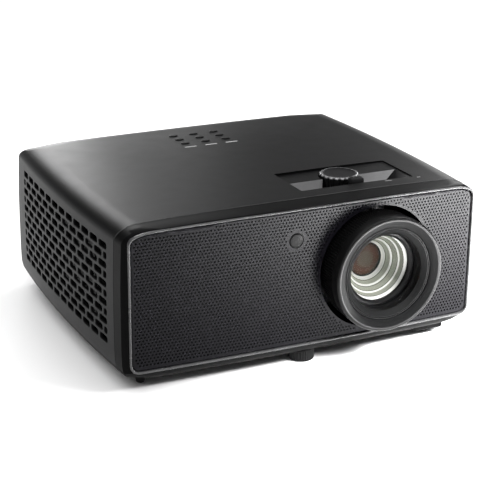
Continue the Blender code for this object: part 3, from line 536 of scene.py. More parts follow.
def ribbon_groove(path, depth, half, closed, axis):
    """V-shaped cutter that runs along a surface line. path is ((point), (outward normal)) in 3-D."""
    bm = bmesh.new()
    rows = []
    a = Vector(axis)
    for p, n in path:
        p, n = Vector(p), Vector(n)
        rows.append([bm.verts.new(p - n * depth), bm.verts.new(p + n * 0.8 + a * (half + 0.8)), bm.verts.new(p + n * 0.8 - a * (half + 0.8))])
    m = len(rows)
    for i in range(m if closed else m - 1):
        A, B = rows[i], rows[(i + 1) % m]
        for k in range(3):
            j = (k + 1) % 3
            bm.faces.new((A[k], A[j], B[j], B[k]))
    if not closed:
        bm.faces.new(rows[0])
        bm.faces.new(rows[-1])
    bmesh.ops.recalc_face_normals(bm, faces=bm.faces)
    return bm


def seam_path():
    """Outline of the case in the plane of the seam between cover and bezel, from the left base to the right base."""
    pts = []
    ring = [(lv[0], lv[1]) for lv in LEVELS if lv[0] >= SEAM_Z - 1]
    xs = float(np.interp(SEAM_Y, _py[_px > 100][np.argsort(_py[_px > 100])], _px[_px > 100][np.argsort(_py[_px > 100])]))
    for z, ix in ring:
        pts.append((-xs * (1 - ix / PX), z))
    pts.append((0.0, TOP))
    pts = pts + [(-x, z) for x, z in reversed(pts[:-1])]
    pts[0] = (pts[0][0], SEAM_Z - 1.5)
    pts[-1] = (pts[-1][0], SEAM_Z - 1.5)
    out = []
    for i, (x, z) in enumerate(pts):
        a, b = pts[max(0, i - 1)], pts[min(len(pts) - 1, i + 1)]
        t = Vector((b[0] - a[0], b[1] - a[1])).normalized()
        n = Vector((-t.y, t.x))
        out.append(((x, SEAM_Y - 0.15, z), (n.x, 0, n.y)))
    return out


def base_path():
    pts = section(SEAM_Z - 0.15, 1.3, 1.3, 0.0)
    out = []
    for i, p in enumerate(pts):
        a, b = Vector(pts[i - 1]), Vector(pts[(i + 1) % len(pts)])
        t = (b - a).normalized()
        out.append((p, (t.y, -t.x, 0)))
    return out


# ---------------------------------------------------------------- top cover
def vent_cutters(side):
    """Staggered rounded slots with a small flare where they meet the side. The front columns of the right side are shallow recesses."""
    bm = bmesh.new()
    ymin, ymax = (-109.6, 112.0) if side < 0 else (-10.0, 112.0)
    for r in range(11):
        z = 25.9 + 8.2 * (10 - r)
        shift = 0.0 if r % 2 == 0 else -9.4
        k = 0
        while True:
            c = -101.9 + shift + 18.8 * k
            k += 1
            a, b = c - 7.5, c + 7.5
            if a > ymax - 3:
                break
            a, b = max(a, ymin), min(b, ymax)
            if b - a < 3:
                continue
            blind = side > 0 and c < 14.0
            loops = []
            for grow, where in ((0.0, -1.2 if blind else None), (0.0, -0.55), (0.55, 0.02), (0.95, 0.42), (0.95, None)):
                rr = 1.9 + grow if b - a > 6 else 1.5 + grow
                pts = rounded(a - grow, b + grow, z - 2.5 - grow, z + 2.5 + grow, rr, 4)
                loops.append([(side * ((side_x(p, q) + where) if where is not None else (155.0 if len(loops) == 0 else 178.0)), p, q) for p, q in pts])
            loft(loops, bm)
    return bm


shell = case_outer()
shell = cut(shell, box(-200, 200, SEAM_Y, 200, SEAM_Z, 200), 'INTERSECT')
shell = cut(shell, case_inner())
shell = cut(shell, vent_cutters(-1))
shell = cut(shell, vent_cutters(1))
shell = cut(shell, prism(rounded(*REC, 1.6), 110, 140))
holes = bmesh.new()
for ky in KEY_YS:
    for kx in KEY_XS:
        prism(circle((kx, ky), KEY_RX + GAP, 40, KEY_RY + GAP), 118, 140, bm=holes)
shell = cut(shell, holes)
shell = cut(shell, prism(rounded(-112, 72, 28, 82, 3.0), 125, 160, 'Y'))
shell = cut(shell, ribbon_groove(seam_path(), 0.42, 0.25, False, (0, 1, 0)))
shell = cut(shell, ribbon_groove(base_path(), 0.42, 0.25, True, (0, 0, 1)))
piece("top_cover_visual", shell, "case", M["shell"], ["top_cover"])

# ---------------------------------------------------------------- bottom case
base = cut(case_outer(), box(-200, 200, -200, 200, -1, SEAM_Z - GAP), 'INTERSECT')
base = cut(base, case_inner())
base = cut(base, prism(rounded(112, 142, -136, -112, 2.5), -6, 1.0, chamfer=0.6), 'UNION')
fh = bmesh.new()
prism(circle((1.3, -131.0), 4.3, 28), -8, 12, bm=fh)
for c in ((-118.0, 104.0), (118.0, 104.0)):
    prism(circle(c, 4.3, 28), -8, 12, bm=fh)
for c in ((-140.0, -90.0), (140.0, -90.0), (-70.0, 128.0), (70.0, 112.0)):
    prism(circle(c, 1.9, 20), -8, 12, bm=fh)
base = cut(base, fh)
base = cut(base, ribbon_groove(base_path(), 0.42, 0.25, True, (0, 0, 1)))
piece("bottom_case_visual", base, "case", M["base"], ["bottom_case"])

# ---------------------------------------------------------------- front bezel
bezel = cut(case_outer(), box(-200, 200, -200, SEAM_Y - GAP, SEAM_Z, 200), 'INTERSECT')
bezel = cut(bezel, case_inner())
bezel = cut(bezel, prism(front_opening(0.0), -190, -128, 'Y'))
bezel = cut(bezel, ribbon_groove(seam_path(), 0.42, 0.25, False, (0, 1, 0)))
bezel = cut(bezel, ribbon_groove(base_path(), 0.42, 0.25, True, (0, 0, 1)))
piece("front_bezel_visual", bezel, "case", M["bezel"], ["front_bezel"])


def normals2d(pts):
    out = []
    n = len(pts)
    for i in range(n):
        a, b = pts[i - 1], pts[(i + 1) % n]
        t = Vector((b[0] - a[0], b[1] - a[1])).normalized()
        out.append((t.y, -t.x))
    return out


def lip_bead():
    """Rounded rim that runs round the front opening."""
    pts = front_opening(0.0)
    nn = normals2d(pts)
    prof = [(-0.05, 6.0), (-0.05, 0.9)] + [(0.9 - 0.95 * math.cos(math.pi * k / 8), 0.35 - 0.95 * math.sin(math.pi * k / 8)) for k in range(9)] + [(1.85, 0.9)]
    bm = bmesh.new()
    rows = []
    for (x, z), (nx, nz) in zip(pts, nn):
        y = front_y(min(max(x, -166), 166))
        rows.append([bm.verts.new((x + nx * o, y + d, z + nz * o)) for o, d in prof])
    m, k = len(rows), len(prof)
    for i in range(m):
        A, B = rows[i], rows[(i + 1) % m]
        for j in range(k):
            jj = (j + 1) % k
            bm.faces.new((A[j], A[jj], B[jj], B[j]))
    bmesh.ops.recalc_face_normals(bm, faces=bm.faces)
    return bm


# the rim bead takes the lighter lip material: painted highlight
piece("front_bezel_lip", lip_bead(), "case", M["bead"], smooth=50)


def seam_ridge():
    """Thin ridge across the top along the seam between bezel and cover, in the lighter lip material: a painted
    highlight line.
    """
    path = [(p, n) for p, n in seam_path() if n[2] > 0.25]
    dense = []
    for (p, n), (q, m) in zip(path[:-1], path[1:]):
        k = max(1, int((Vector(q) - Vector(p)).length / 2.0))
        for t in range(k):
            dense.append((Vector(p).lerp(Vector(q), t / k), Vector(n).lerp(Vector(m), t / k).normalized()))
    dense.append((Vector(path[-1][0]), Vector(path[-1][1])))
    rows = []
    for p, n in dense:
        row = []
        for k in range(8):
            a = 2 * math.pi * k / 8
            row.append(tuple(p + Vector((0, -0.42, 0)) + n * (0.0 + 0.24 * math.sin(a)) + Vector((0, 0.26 * math.cos(a), 0))))
        rows.append(row)
    return loft(rows)


piece("front_bezel_seam_edge", seam_ridge(), "case", M["bead"], smooth=60)


# ---------------------------------------------------------------- front panel
def inside_poly(px, pz, poly):
    """Vectorised even-odd test."""
    inside = np.zeros(px.shape, bool)
    n = len(poly)
    for i in range(n):
        x0, z0 = poly[i]
        x1, z1 = poly[(i + 1) % n]
        c = ((z0 > pz) != (z1 > pz))
        if z1 != z0:
            inside ^= c & (px < (x1 - x0) * (pz - z0) / (z1 - z0) + x0)
    return inside


def edge_distance(px, pz, poly):
    best = np.full(px.shape, 1e9)
    n = len(poly)
    for i in range(n):
        x0, z0 = poly[i]
        x1, z1 = poly[(i + 1) % n]
        dx, dz = x1 - x0, z1 - z0
        t = np.clip(((px - x0) * dx + (pz - z0) * dz) / max(dx * dx + dz * dz, 1e-12), 0, 1)
        best = np.minimum(best, np.hypot(px - x0 - t * dx, pz - z0 - t * dz))
    return best


def front_panel():
    A = 3.13                      # dot pitch along a row
    R = A / math.sqrt(3.0)        # cell corner radius
    DZ = 1.5 * R                  # row pitch
    outer = front_opening(0.5)
    inner = front_opening(1.3)
    cells = {}
    rows = []
    for r in range(-60, 61):
        for q in range(-70, 71):
            x = A * (q + (0.5 if r % 2 else 0.0))
            z = 68.0 + DZ * r
            if abs(x) < 165 and 0 < z < 140:
                rows.append((q, r, x, z))
    X = np.array([w[2] for w in rows])
    Z = np.array([w[3] for w in rows])
    ok = inside_poly(X, Z, inner) & (edge_distance(X, Z, inner) > R + 0.12)
    ok &= np.hypot(X - LENS_X, Z - LENS_Z) > OPENING_R + R + 0.25
    ok &= np.hypot(X - IR[0], Z - IR[1]) > 6.7 + R + 0.7
    bm = bmesh.new()
    corner = {}

    def depth(x):
        return front_y(x) + 1.0

    def vert(x, z):
        k = (round(4 * x / A), round(4 * (z - 68.0) / R))
        if k not in corner:
            corner[k] = bm.verts.new((x, depth(x), z))
        return corner[k]
    chosen = set()
    edge_count = {}
    for (q, r, x, z), good in zip(rows, ok):
        if not good:
            continue
        chosen.add((q, r))
        cs = [(x + R * math.sin(math.radians(60 * k)), z + R * math.cos(math.radians(60 * k))) for k in range(6)]
        ring = []
        for k in range(6):
            a, b = cs[k], cs[(k + 1) % 6]
            ring.append(a)
            ring.append(((a[0] + b[0]) / 2, (a[1] + b[1]) / 2))
        out = [vert(*p) for p in ring]
        yb = depth(x)
        mid = []
        low = []
        for k in range(12):
            a = math.radians(30 * k)
            mid.append(bm.verts.new((x + 0.86 * math.sin(a), yb, z + 0.86 * math.cos(a))))
            low.append(bm.verts.new((x + 0.62 * math.sin(a), yb + 0.45, z + 0.62 * math.cos(a))))
        # inner walls and floor of each dimple take the near-black material: painted shade
        for k in range(12):
            j = (k + 1) % 12
            bm.faces.new((out[k], out[j], mid[j], mid[k]))
            f = bm.faces.new((mid[k], mid[j], low[j], low[k]))
            f.material_index = 1
            e = tuple(sorted((out[k].index if False else id(out[k]), id(out[j]))))
            edge_count.setdefault(e, []).append((out[k], out[j]))
        f = bm.faces.new(low)
        f.material_index = 1
    border = [v[0] for v in edge_count.values() if len(v) == 1]
    # plain margin between the dotted field, the openings and the panel's edge
    pts, index, segs = [], {}, []

    def pid(x, z):
        k = (round(x, 4), round(z, 4))
        if k not in index:
            index[k] = len(pts)
            pts.append(Vector((x, z)))
        return index[k]
    for a, b in border:
        segs.append((pid(a.co.x, a.co.z), pid(b.co.x, b.co.z)))
    lens = circle(LC, OPENING_R, 160)
    irc = circle(IR, 6.7, 48)
    for poly in (inner, lens, irc):
        ids = [pid(x, z) for x, z in poly]
        segs += [(ids[i], ids[(i + 1) % len(ids)]) for i in range(len(ids))]
    vv, ee, ff, ov, oe, of_ = delaunay_2d_cdt(pts, segs, [], 0, 1e-5)
    vx = np.array([(v.x, v.y) for v in vv])
    tri = [f for f in ff if len(f) == 3]
    C = np.array([vx[list(f)].mean(0) for f in tri])
    keep = inside_poly(C[:, 0], C[:, 1], inner)
    keep &= np.hypot(C[:, 0] - LENS_X, C[:, 1] - LENS_Z) > OPENING_R * math.cos(math.pi / 160) - 0.001
    keep &= np.hypot(C[:, 0] - IR[0], C[:, 1] - IR[1]) > 6.7 * math.cos(math.pi / 48) - 0.001
    lensp, irp = inside_poly(C[:, 0], C[:, 1], lens), inside_poly(C[:, 0], C[:, 1], irc)
    keep &= ~lensp & ~irp
    for t, (f, c) in enumerate(zip(tri, C)):
        if not keep[t]:
            continue
        r = round((c[1] - 68.0) / DZ)
        hit = False
        for rr in (r - 1, r, r + 1):
            q = round(c[0] / A - (0.5 if rr % 2 else 0.0))
            for qq in (q - 1, q, q + 1):
                if (qq, rr) in chosen:
                    x = A * (qq + (0.5 if rr % 2 else 0.0))
                    z = 68.0 + DZ * rr
                    dx, dz = abs(c[0] - x), abs(c[1] - z)
                    if dx <= A / 2 and dz <= R - dx * 0.57735:
                        hit = True
        if hit:
            continue
        try:
            bm.faces.new([bm.verts.new((vx[i][0], depth(vx[i][0]), vx[i][1])) for i in f])
        except ValueError:
            pass
    # rounded edge, side walls and back
    def ring(poly, dy, c=None):
        return [bm.verts.new((x, depth(x) + dy, z)) for x, z in poly]

    def strip(P, Q):
        n = len(P)
        for i in range(n):
            j = (i + 1) % n
            bm.faces.new((P[i], P[j], Q[j], Q[i]))
    e0 = ring(inner, 0.0)
    mid_poly = front_opening(0.75)
    e1 = ring(mid_poly, 0.22) if len(mid_poly) == len(inner) else None
    e2 = ring(outer, 0.8)
    e3 = ring(outer, 2.4)
    if e1:
        strip(e0, e1)
        strip(e1, e2)
    else:
        strip(e0, e2)
    strip(e2, e3)
    l0, l1 = ring(lens, 0.0), ring(lens, 2.4)
    strip(l0, l1)
    i0, i1 = ring(irc, 0.0), ring(irc, 2.4)
    strip(i0, i1)
    # back face
    pts2, segs2 = [], []
    for poly in (outer, lens, irc):
        b0 = len(pts2)
        pts2 += [Vector(p) for p in poly]
        segs2 += [(b0 + i, b0 + (i + 1) % len(poly)) for i in range(len(poly))]
    vv, ee, ff, ov, oe, of_ = delaunay_2d_cdt(pts2, segs2, [], 0, 1e-5)
    vx = np.array([(v.x, v.y) for v in vv])
    tri = [f for f in ff if len(f) == 3]
    C = np.array([vx[list(f)].mean(0) for f in tri])
    keep = inside_poly(C[:, 0], C[:, 1], outer) & ~inside_poly(C[:, 0], C[:, 1], lens) & ~inside_poly(C[:, 0], C[:, 1], irc)
    for t, f in enumerate(tri):
        if keep[t]:
            bm.faces.new([bm.verts.new((vx[i][0], depth(vx[i][0]) + 2.4, vx[i][1])) for i in f])
    bmesh.ops.remove_doubles(bm, verts=bm.verts, dist=0.0012)
    bmesh.ops.recalc_face_normals(bm, faces=bm.faces)
    return bm


panel = piece("front_panel_visual", front_panel(), "case", [M["panel"], M["hole"]], ["front_grille"], smooth=40)
yi = front_y(IR[0])
piece("ir_window_visual", turned([(0, yi + 0.35), (2.5, yi + 0.38), (4.6, yi + 0.5), (5.6, yi + 0.62), (6.15, yi + 0.85), (6.35, yi + 1.2), (6.4, yi + 4.0), (0, yi + 4.0)],
                                 IR, 64, close=False), "case", M["ir"], ["ir_window"])


# ---------------------------------------------------------------- lens control tray
def control_tray():
    g = GAP
    bm = prism(rounded(REC[0] + g, REC[1] - g, REC[2] + g, REC[3] - g, 1.4), 117.0, STEP_Z)
    d, e = 10.0, 1.3
    x0, x1, y0 = REC[0] + 2, REC[1] - 2, REC[2] + 2

    def quad(ins, yb, z):
        return [(x, y, z) for x, y in rounded(x0 + ins, x1 - ins, y0, yb, 0.8, 3)]
    bm = cut(bm, loft([quad(d, REC_YM - 0.3, WELL_Z), quad(-e, REC_YM, STEP_Z + e)]))
    bm = cut(bm, prism(circle(DIAL[:2], DIAL[2] + 1.0, 96), DIAL[3] - 0.8, 140))
    bm = cut(bm, prism(circle(DIAL[:2], 3.1, 40), 110, 130))
    bm = cut(bm, prism(rounded(46, 90, LEVER_Y - 3.4, LEVER_Y + 3.4, 3.3), 110, 125))
    bm.faces.ensure_lookup_table()
    bm.normal_update()
    # faces of the well's back wall that face the front get the light grey well material: painted light
    for f in bm.faces:
        c = f.calc_center_median()
        if abs(f.normal.y) > 0.7 and f.normal.y < 0 and WELL_Z - 0.1 < c.z < STEP_Z + 0.1 and REC_YM - 1.5 < c.y < REC_YM + 1:
            f.material_index = 1
    return bm


piece("lens_control_tray_visual", control_tray(), "case", [M["tray"], M["well"]], ["lens_control_tray"])


# ---------------------------------------------------------------- dial
def dial():
    cx, cy, r1, z0, z1 = DIAL
    n, lobes = 360, 20
    prof = [(r1 - 2.6, z0, 1.0, 0), (r1 - 0.15, z1 - 2.2, 1.0, 0), (r1, z1 - 1.5, 1.0, 2), (r1 - 0.25, z1 - 0.8, 0.75, 2), (r1 - 0.9, z1 - 0.2, 0.35, 2),
            (r1 - 1.7, z1, 0.0, 2), (r1 - 2.4, z1, 0.0, 1), (r1 - 2.9, z1 - 0.35, 0.0, 1), (r1 - 3.6, z1 - 0.45, 0.0, 1), (r1 * 0.45, z1 - 0.5, 0.0, 1)]
    bm = bmesh.new()
    rings = []
    for r, z, dd, mi in prof:
        ring = []
        for i in range(n):
            a = 2 * math.pi * i / n
            w = 0.5 - 0.5 * math.cos(lobes * a)
            rr = r - 1.25 * dd * (w ** 1.8)
            ring.append(bm.verts.new((cx + rr * math.cos(a), cy + rr * math.sin(a), z)))
        rings.append(ring)
    for k, (A, B) in enumerate(zip(rings[:-1], rings[1:])):
        for i in range(n):
            j = (i + 1) % n
            f = bm.faces.new((A[i], A[j], B[j], B[i]))
            f.material_index = prof[k][3]
    f = bm.faces.new(rings[-1])
    f.material_index = 1
    bm.faces.new(rings[0])
    shaft = prism(circle((cx, cy), 3.0, 32), 115.0, z0 + 0.001)
    add(bm, shaft)
    bmesh.ops.recalc_face_normals(bm, faces=bm.faces)
    return bm


piece("lens_shift_dial_visual", dial(), "shift_dial", [M["dial"], M["dial_top"], M["dial_rim"]], ["lens_shift_dial"], smooth=40)

# ---------------------------------------------------------------- zoom lever and ring
tilt = math.atan2(LEVER_X - LENS_X, 131.0 - LENS_Z)
rot = Matrix.Translation((LENS_X, 0, LENS_Z)) @ Matrix.Rotation(tilt, 4, 'Y')


def lever():
    rings = []
    for x, s in ((-6.6, 0.55), (-6.45, 0.74), (-6.1, 0.88), (-5.5, 0.96), (-4.6, 1.0), (4.6, 1.0), (5.5, 0.96), (6.1, 0.88), (6.45, 0.74), (6.6, 0.55)):
        ring = []
        for i in range(48):
            a = 2 * math.pi * i / 48
            ca, sa = math.cos(a), math.sin(a)
            ca, sa = math.copysign(abs(ca) ** 0.75, ca), math.copysign(abs(sa) ** 0.75, sa)
            ring.append((x, LEVER_Y + 4.2 * s * ca, 63.2 + 3.7 * s * sa))
        rings.append(ring)
    tab = loft(rings)
    for k in range(-2, 3):      # grip grooves across the tab
        g = box(k * 1.9 - 0.3, k * 1.9 + 0.3, LEVER_Y - 5, LEVER_Y + 5, 66.55, 68)
        tab = cut(tab, g)
    stem = prism(rounded(-3.0, 3.0, LEVER_Y - 2.2, LEVER_Y + 2.2, 0.8), 45.3, 60.8)
    tab = cut(tab, stem, 'UNION')
    bmesh.ops.transform(tab, matrix=rot, verts=tab.verts)
    return tab


piece("zoom_lever_visual", lever(), "zoom", M["lever"], ["zoom_lever"], smooth=35)
piece("zoom_ring_visual", turned([(44.6, -107), (45, -106.6), (45, -92.4), (44.6, -92), (41.2, -92), (41.2, -107)], LC, 128),
      "zoom", M["ring"], ["zoom_ring"])


# ---------------------------------------------------------------- focus ring and lens
def focus_ring():
    ribs = 132
    n = ribs * 4
    #       radius, y, rib depth share, material of the band that follows
    prof = [(41.2, -138.0, 0, 0), (48.9, -138.0, 0, 0), (49.1, -138.4, 0, 0), (49.1, -141.0, 0, 0), (50.0, -141.8, 0, 0), (50.35, -142.3, 1, 0),
            (50.35, -158.4, 1, 0), (50.1, -158.9, 0, 0), (50.5, -159.3, 0, 0), (51.0, -159.9, 0, 0), (51.0, -167.9, 0, 0), (50.8, -168.9, 0, 0),
            (50.2, -169.7, 0, 0), (49.4, -170.1, 0, 0), (48.4, -170.2, 0, 1), (47.9, -170.1, 0, 1), (47.4, -169.8, 0, 2), (44.5, -168.7, 0, 2), (41.7, -167.5, 0, 2), (41.2, -166.9, 0, 0)]
    bm = bmesh.new()
    rings = []
    for r, y, rib, mi in prof:
        ring = []
        for i in range(n):
            a = 2 * math.pi * (i - 0.5) / n
            rr = r - (0.75 if rib and (i % 4) in (2, 3) else 0.0)
            ring.append(bm.verts.new((LENS_X + rr * math.cos(a), y, LENS_Z + rr * math.sin(a))))
        rings.append(ring)
    for k in range(len(rings)):
        A, B = rings[k], rings[(k + 1) % len(rings)]
        for i in range(n):
            j = (i + 1) % n
            f = bm.faces.new((A[i], A[j], B[j], B[i]))
            f.material_index = prof[k][3]
    bmesh.ops.recalc_face_normals(bm, faces=bm.faces)
    return bm


piece("focus_ring_visual", focus_ring(), "focus_ring", [M["ring"], M["lip"], M["face"]], ["focus_ring"], smooth=35)

# barrel: grey front face, black stepped throat, then the inner steps behind the front element, coloured bright silver
# and green-grey as painted reflections
barrel = [(40.8, -166.3, 0), (40.5, -166.6, 0), (40.0, -166.6, 0), (39.6, -165.6, 0), (39.3, -166.4, 1), (38.7, -166.5, 1), (35.0, -163.6, 1), (34.3, -162.8, 0),
          (34.0, -159.0, 0), (33.6, -156.0, 0), (33.35, -155.6, 0), (33.3, -150.0, 0), (30.6, -150.0, 0), (30.5, -146.2, 2), (29.9, -145.4, 2),
          (28.3, -144.4, 0), (27.9, -144.2, 3), (26.2, -141.0, 2), (25.0, -140.0, 4), (24.5, -139.6, 3), (22.6, -135.6, 4), (22.0, -135.2, 2), (20.6, -134.2, 3),
          (18.6, -130.2, 4), (18.0, -129.8, 2), (15.8, -126.8, 0), (15.1, -126.0, 0), (14.9, -116.0, 0), (27.0, -115.0, 0), (36.0, -112.0, 0), (36.0, -66.0, 0),
          (40.8, -66.0, 0), (40.8, -133.5, 0), (46.2, -133.5, 0), (46.5, -133.8, 0), (46.5, -137.2, 0), (46.2, -137.5, 0), (40.8, -137.5, 0)]
piece("lens_barrel_visual", turned([(r, y) for r, y, m in barrel], LC, 160, mats=[m for r, y, m in barrel]), "lens_unit",
      [M["cone"], M["face2"], M["silver"], M["silver2"], M["green"]], ["lens_barrel"], smooth=30)
piece("front_lens_ring_visual", turned([(30.7, -152.5), (31.0, -152.8), (32.8, -152.8), (33.1, -152.5), (33.1, -150.4), (28.9, -150.4), (28.9, -151.0), (29.2, -151.4)],
                                       LC, 160), "lens_unit", M["cone"], ["front_lens_ring"])


def dome(r, y_apex, sag, thick, n=14):
    """Thin meniscus: apex towards the front, sag back at its rim."""
    p = [(r * k / n, y_apex + sag * (k / n) ** 2) for k in range(n + 1)]
    q = [(r * k / n, y_apex + thick + sag * (k / n) ** 2) for k in range(n, -1, -1)]
    return p + q


piece("front_lens_visual", turned(dome(28.8, -151.0, 2.6, 0.9), LC, 128, close=False), "lens_unit", M["glass"], ["front_lens"])
piece("middle_lens_visual", turned(dome(15.0, -127.2, 2.0, 2.4), LC, 96, close=False), "lens_unit", M["amber"], ["middle_lens"])

# ---------------------------------------------------------------- keys and their printed marks
NAMES = (("menu_key", "up_key", "power_key"), ("left_key", "enter_key", "right_key"), ("input_key", "down_key", "return_key"))
for r, ky in enumerate(KEY_YS):
    for c, kx in enumerate(KEY_XS):
        zt = top_at(kx, ky) + 0.9
        rings = []
        for s, z in ((1.25, 125.6), (1.25, 126.6), (1.0, 126.61), (1.0, zt - 0.75), (0.985, zt - 0.5), (0.94, zt - 0.27), (0.86, zt - 0.1), (0.74, zt - 0.02),
                     (0.5, zt), (0.2, zt)):
            rings.append([(x, y, z) for x, y in circle((kx, ky), KEY_RX * s, 48, KEY_RY * s)])
        nm = NAMES[r][c]
        piece(nm + "_visual", loft(rings), nm, M["key"], [nm], smooth=40)

marks = bmesh.new()
for kx in KEY_XS:
    zc = top_at(kx, 57.0)
    pts = rounded(kx - 6.0, kx + 6.0, 56.0, 58.0, 0.6, 4)
    loft([[(x, y, top_at(x, y) - 0.2) for x, y in pts], [(x, y, top_at(x, y) + 0.05) for x, y in pts]], marks)
piece("printed_marks", marks, "case", M["print"])
marks = bmesh.new()
for x0, x1 in ((91.0, 98.0), (123.5, 127.0)):
    pts = rounded(x0, x1, -111.2, -109.8, 0.4, 3)
    loft([[(x, y, top_at(x, y) - 0.2) for x, y in pts], [(x, y, top_at(x, y) + 0.05) for x, y in pts]], marks)
piece("printed_marks_recess", marks, "case", M["print_dim"])


# ---------------------------------------------------------------- feet
def foot(c, r, ribs):
    n = ribs * 4
    prof = [(r - 1.6, -FOOT, 0), (r - 0.9, -FOOT + 0.15, 0), (r - 0.35, -FOOT + 0.6, 0.4), (r, -FOOT + 1.4, 1), (r, -3.0, 1), (r - 0.3, -2.4, 0.5), (r - 1.0, -1.5, 0),
            (r - 1.6, -1.39, 0), (3.9, -1.38, 0), (3.9, 21.5, 0), (3.4, 22.0, 0)]
    rings = []
    for k, z, dd in prof:
        ring = []
        for i in range(n):
            a = 2 * math.pi * i / n
            rr = k - (0.7 * dd if (i % 4) in (2, 3) else 0.0)
            ring.append((c[0] + rr * math.cos(a), c[1] + rr * math.sin(a), z))
        rings.append(ring)
    return loft(rings)


for nm, c, ribs in (("front_foot", (1.3, -131.0), 30), ("rear_foot_left", (-118.0, 104.0), 30), ("rear_foot_right", (118.0, 104.0), 30)):
    piece(nm + "_visual", foot(c, 11.0, ribs), nm, M["foot"], [nm], smooth=35)
for nm, c, top, r2 in (("front_rest_left", (-144.0, -119.0), -0.3, 5.0), ("front_rest_right", (128.0, -124.0), -6.3, 4.4)):
    piece(nm + "_visual", turned([(0, -FOOT), (2.6, -FOOT), (3.3, -FOOT + 0.25), (3.65, -FOOT + 0.9), (r2, top - 0.3), (r2 - 0.3, top), (0, top)], c, 48, 'Z', close=False),
          "case", M["foot"], [nm])

# ---------------------------------------------------------------- rear panel and sockets
PORTS = {"hdmi_socket_1": (-40, 68, 7.5, 2.8), "hdmi_socket_2": (-16, 68, 7.5, 2.8), "usb_socket": (6, 68, 6.6, 3.6)}
rp = prism(rounded(-112 + GAP, 72 - GAP, 28 + GAP, 82 - GAP, 2.7), 142.4, 144.8, 'Y', chamfer=0.3)
win = bmesh.new()
for px, pz, hx, hz in PORTS.values():
    prism(rounded(px - hx - GAP, px + hx + GAP, pz - hz - GAP, pz + hz + GAP, 0.9, 4), 135, 148, 'Y', bm=win)
prism(rounded(-102 - GAP, -72 + GAP, 36 - GAP, 56 + GAP, 2.0), 135, 148, 'Y', bm=win)
prism(circle((30, 67), 4.3, 48), 135, 148, 'Y', bm=win)
rp = cut(rp, win)
piece("rear_io_panel_visual", rp, "case", M["rear"], ["rear_io_panel"])
for nm, (px, pz, hx, hz) in PORTS.items():
    s = prism(rounded(px - hx, px + hx, pz - hz, pz + hz, 0.8, 4), 131, 145.2, 'Y', chamfer=0.2)
    s = cut(s, prism(rounded(px - hx + 0.7, px + hx - 0.7, pz - hz + 0.7, pz + hz - 0.7, 0.5, 4), 134, 148, 'Y'))
    s.normal_update()
    piece(nm + "_visual", s, "case", M["socket"], [nm])
    t = box(px - hx + 2, px + hx - 2, 133.5, 144.0, pz - 0.4, pz + 0.6)
    bmesh.ops.bevel(t, geom=t.edges[:], offset=0.15, segments=2, affect='EDGES')
    piece(nm + "_tongue", t, "case", M["dark"])
s = turned([(1.8, 133.0), (1.8, 145.0), (2.1, 145.4), (3.7, 145.4), (4.0, 145.1), (4.0, 131.0), (0, 131.0), (0, 133.0)], (30, 67), 64, close=True)
piece("audio_socket_visual", s, "case", M["dark"], ["audio_socket"])
s = prism(rounded(-102, -72, 36, 56, 1.8), 127, 145.2, 'Y', chamfer=0.4)
inner_in = [(-99.5, 39.0), (-96.0, 38.0), (-78.0, 38.0), (-74.5, 39.0), (-74.0, 50.0), (-78.5, 54.0), (-95.5, 54.0), (-100.0, 50.0)]
s = cut(s, prism(inner_in, 131, 148, 'Y'))
piece("power_inlet_visual", s, "case", M["dark"], ["power_inlet"])
core = prism([(-97.5, 40.5), (-76.5, 40.5), (-76.5, 48.5), (-79.5, 51.5), (-94.5, 51.5), (-97.5, 48.5)], 130.5, 143.4, 'Y', chamfer=0.3)
piece("power_inlet_core", core, "case", M["dark"])
pins = bmesh.new()
for px, pz in ((-92.0, 44.0), (-82.0, 44.0), (-87.0, 48.5)):
    prism(rounded(px - 1.0, px + 1.0, pz - 0.7, pz + 0.7, 0.3, 3), 132, 144.4, 'Y', chamfer=0.2, bm=pins)
piece("power_inlet_pins", pins, "case", M["socket"])

# ---------------------------------------------------------------- CAD pieces that stay on show
KEEP = {"rear_lens": "glass", "lens_carriage_plate": "steel", "lens_guide_frame": "alu", "keypad_board": "pcb", "optical_engine": "alu",
        "imager_board": "pcb", "imager_heat_sink": "fin", "laser_module": "module", "laser_heat_sink": "fin", "phosphor_wheel": "phosphor",
        "wheel_motor": "module", "wheel_bracket": "steel", "power_supply": "pcb", "main_board": "pcb", "fan_frame_left": "fan",
        "fan_frame_right": "fan", "fan_rotor_left": "fan", "fan_rotor_right": "fan", "speaker": "speaker"}
for i in range(1, 5):
    KEEP["case_screw_%d" % i] = "screw"
for nm, key in KEEP.items():
    me = NODES[nm].data
    me.materials.clear()
    me.materials.append(M[key])
    me.shade_smooth()
    me.set_sharp_from_angle(angle=math.radians(30))

# ---------------------------------------------------------------- floor, light, camera
fbm = bmesh.new()
bmesh.ops.create_grid(fbm, x_segments=2, y_segments=2, size=14.0)
fme = bpy.data.meshes.new("floor")
fbm.to_mesh(fme)
fbm.free()
fm, fnt, fb = tree("floor_pale")
fn = fnt.nodes.new("ShaderNodeTexNoise")
fn.inputs["Scale"].default_value = 3.0
fr = fnt.nodes.new("ShaderNodeMapRange")
fr.inputs["To Min"].default_value, fr.inputs["To Max"].default_value = 0.78, 0.84
fnt.links.new(fn.outputs["Fac"], fr.inputs["Value"])
fb.inputs["Base Color"].default_value = (0.9, 0.9, 0.9, 1)
fnt.links.new(fr.outputs["Result"], fb.inputs["Roughness"])
fb.inputs["Specular IOR Level"].default_value = 0.1
fme.materials.append(fm)
floor = bpy.data.objects.new("floor", fme)
floor.location = (0, 0, -0.0002)
SCENE.collection.objects.link(floor)

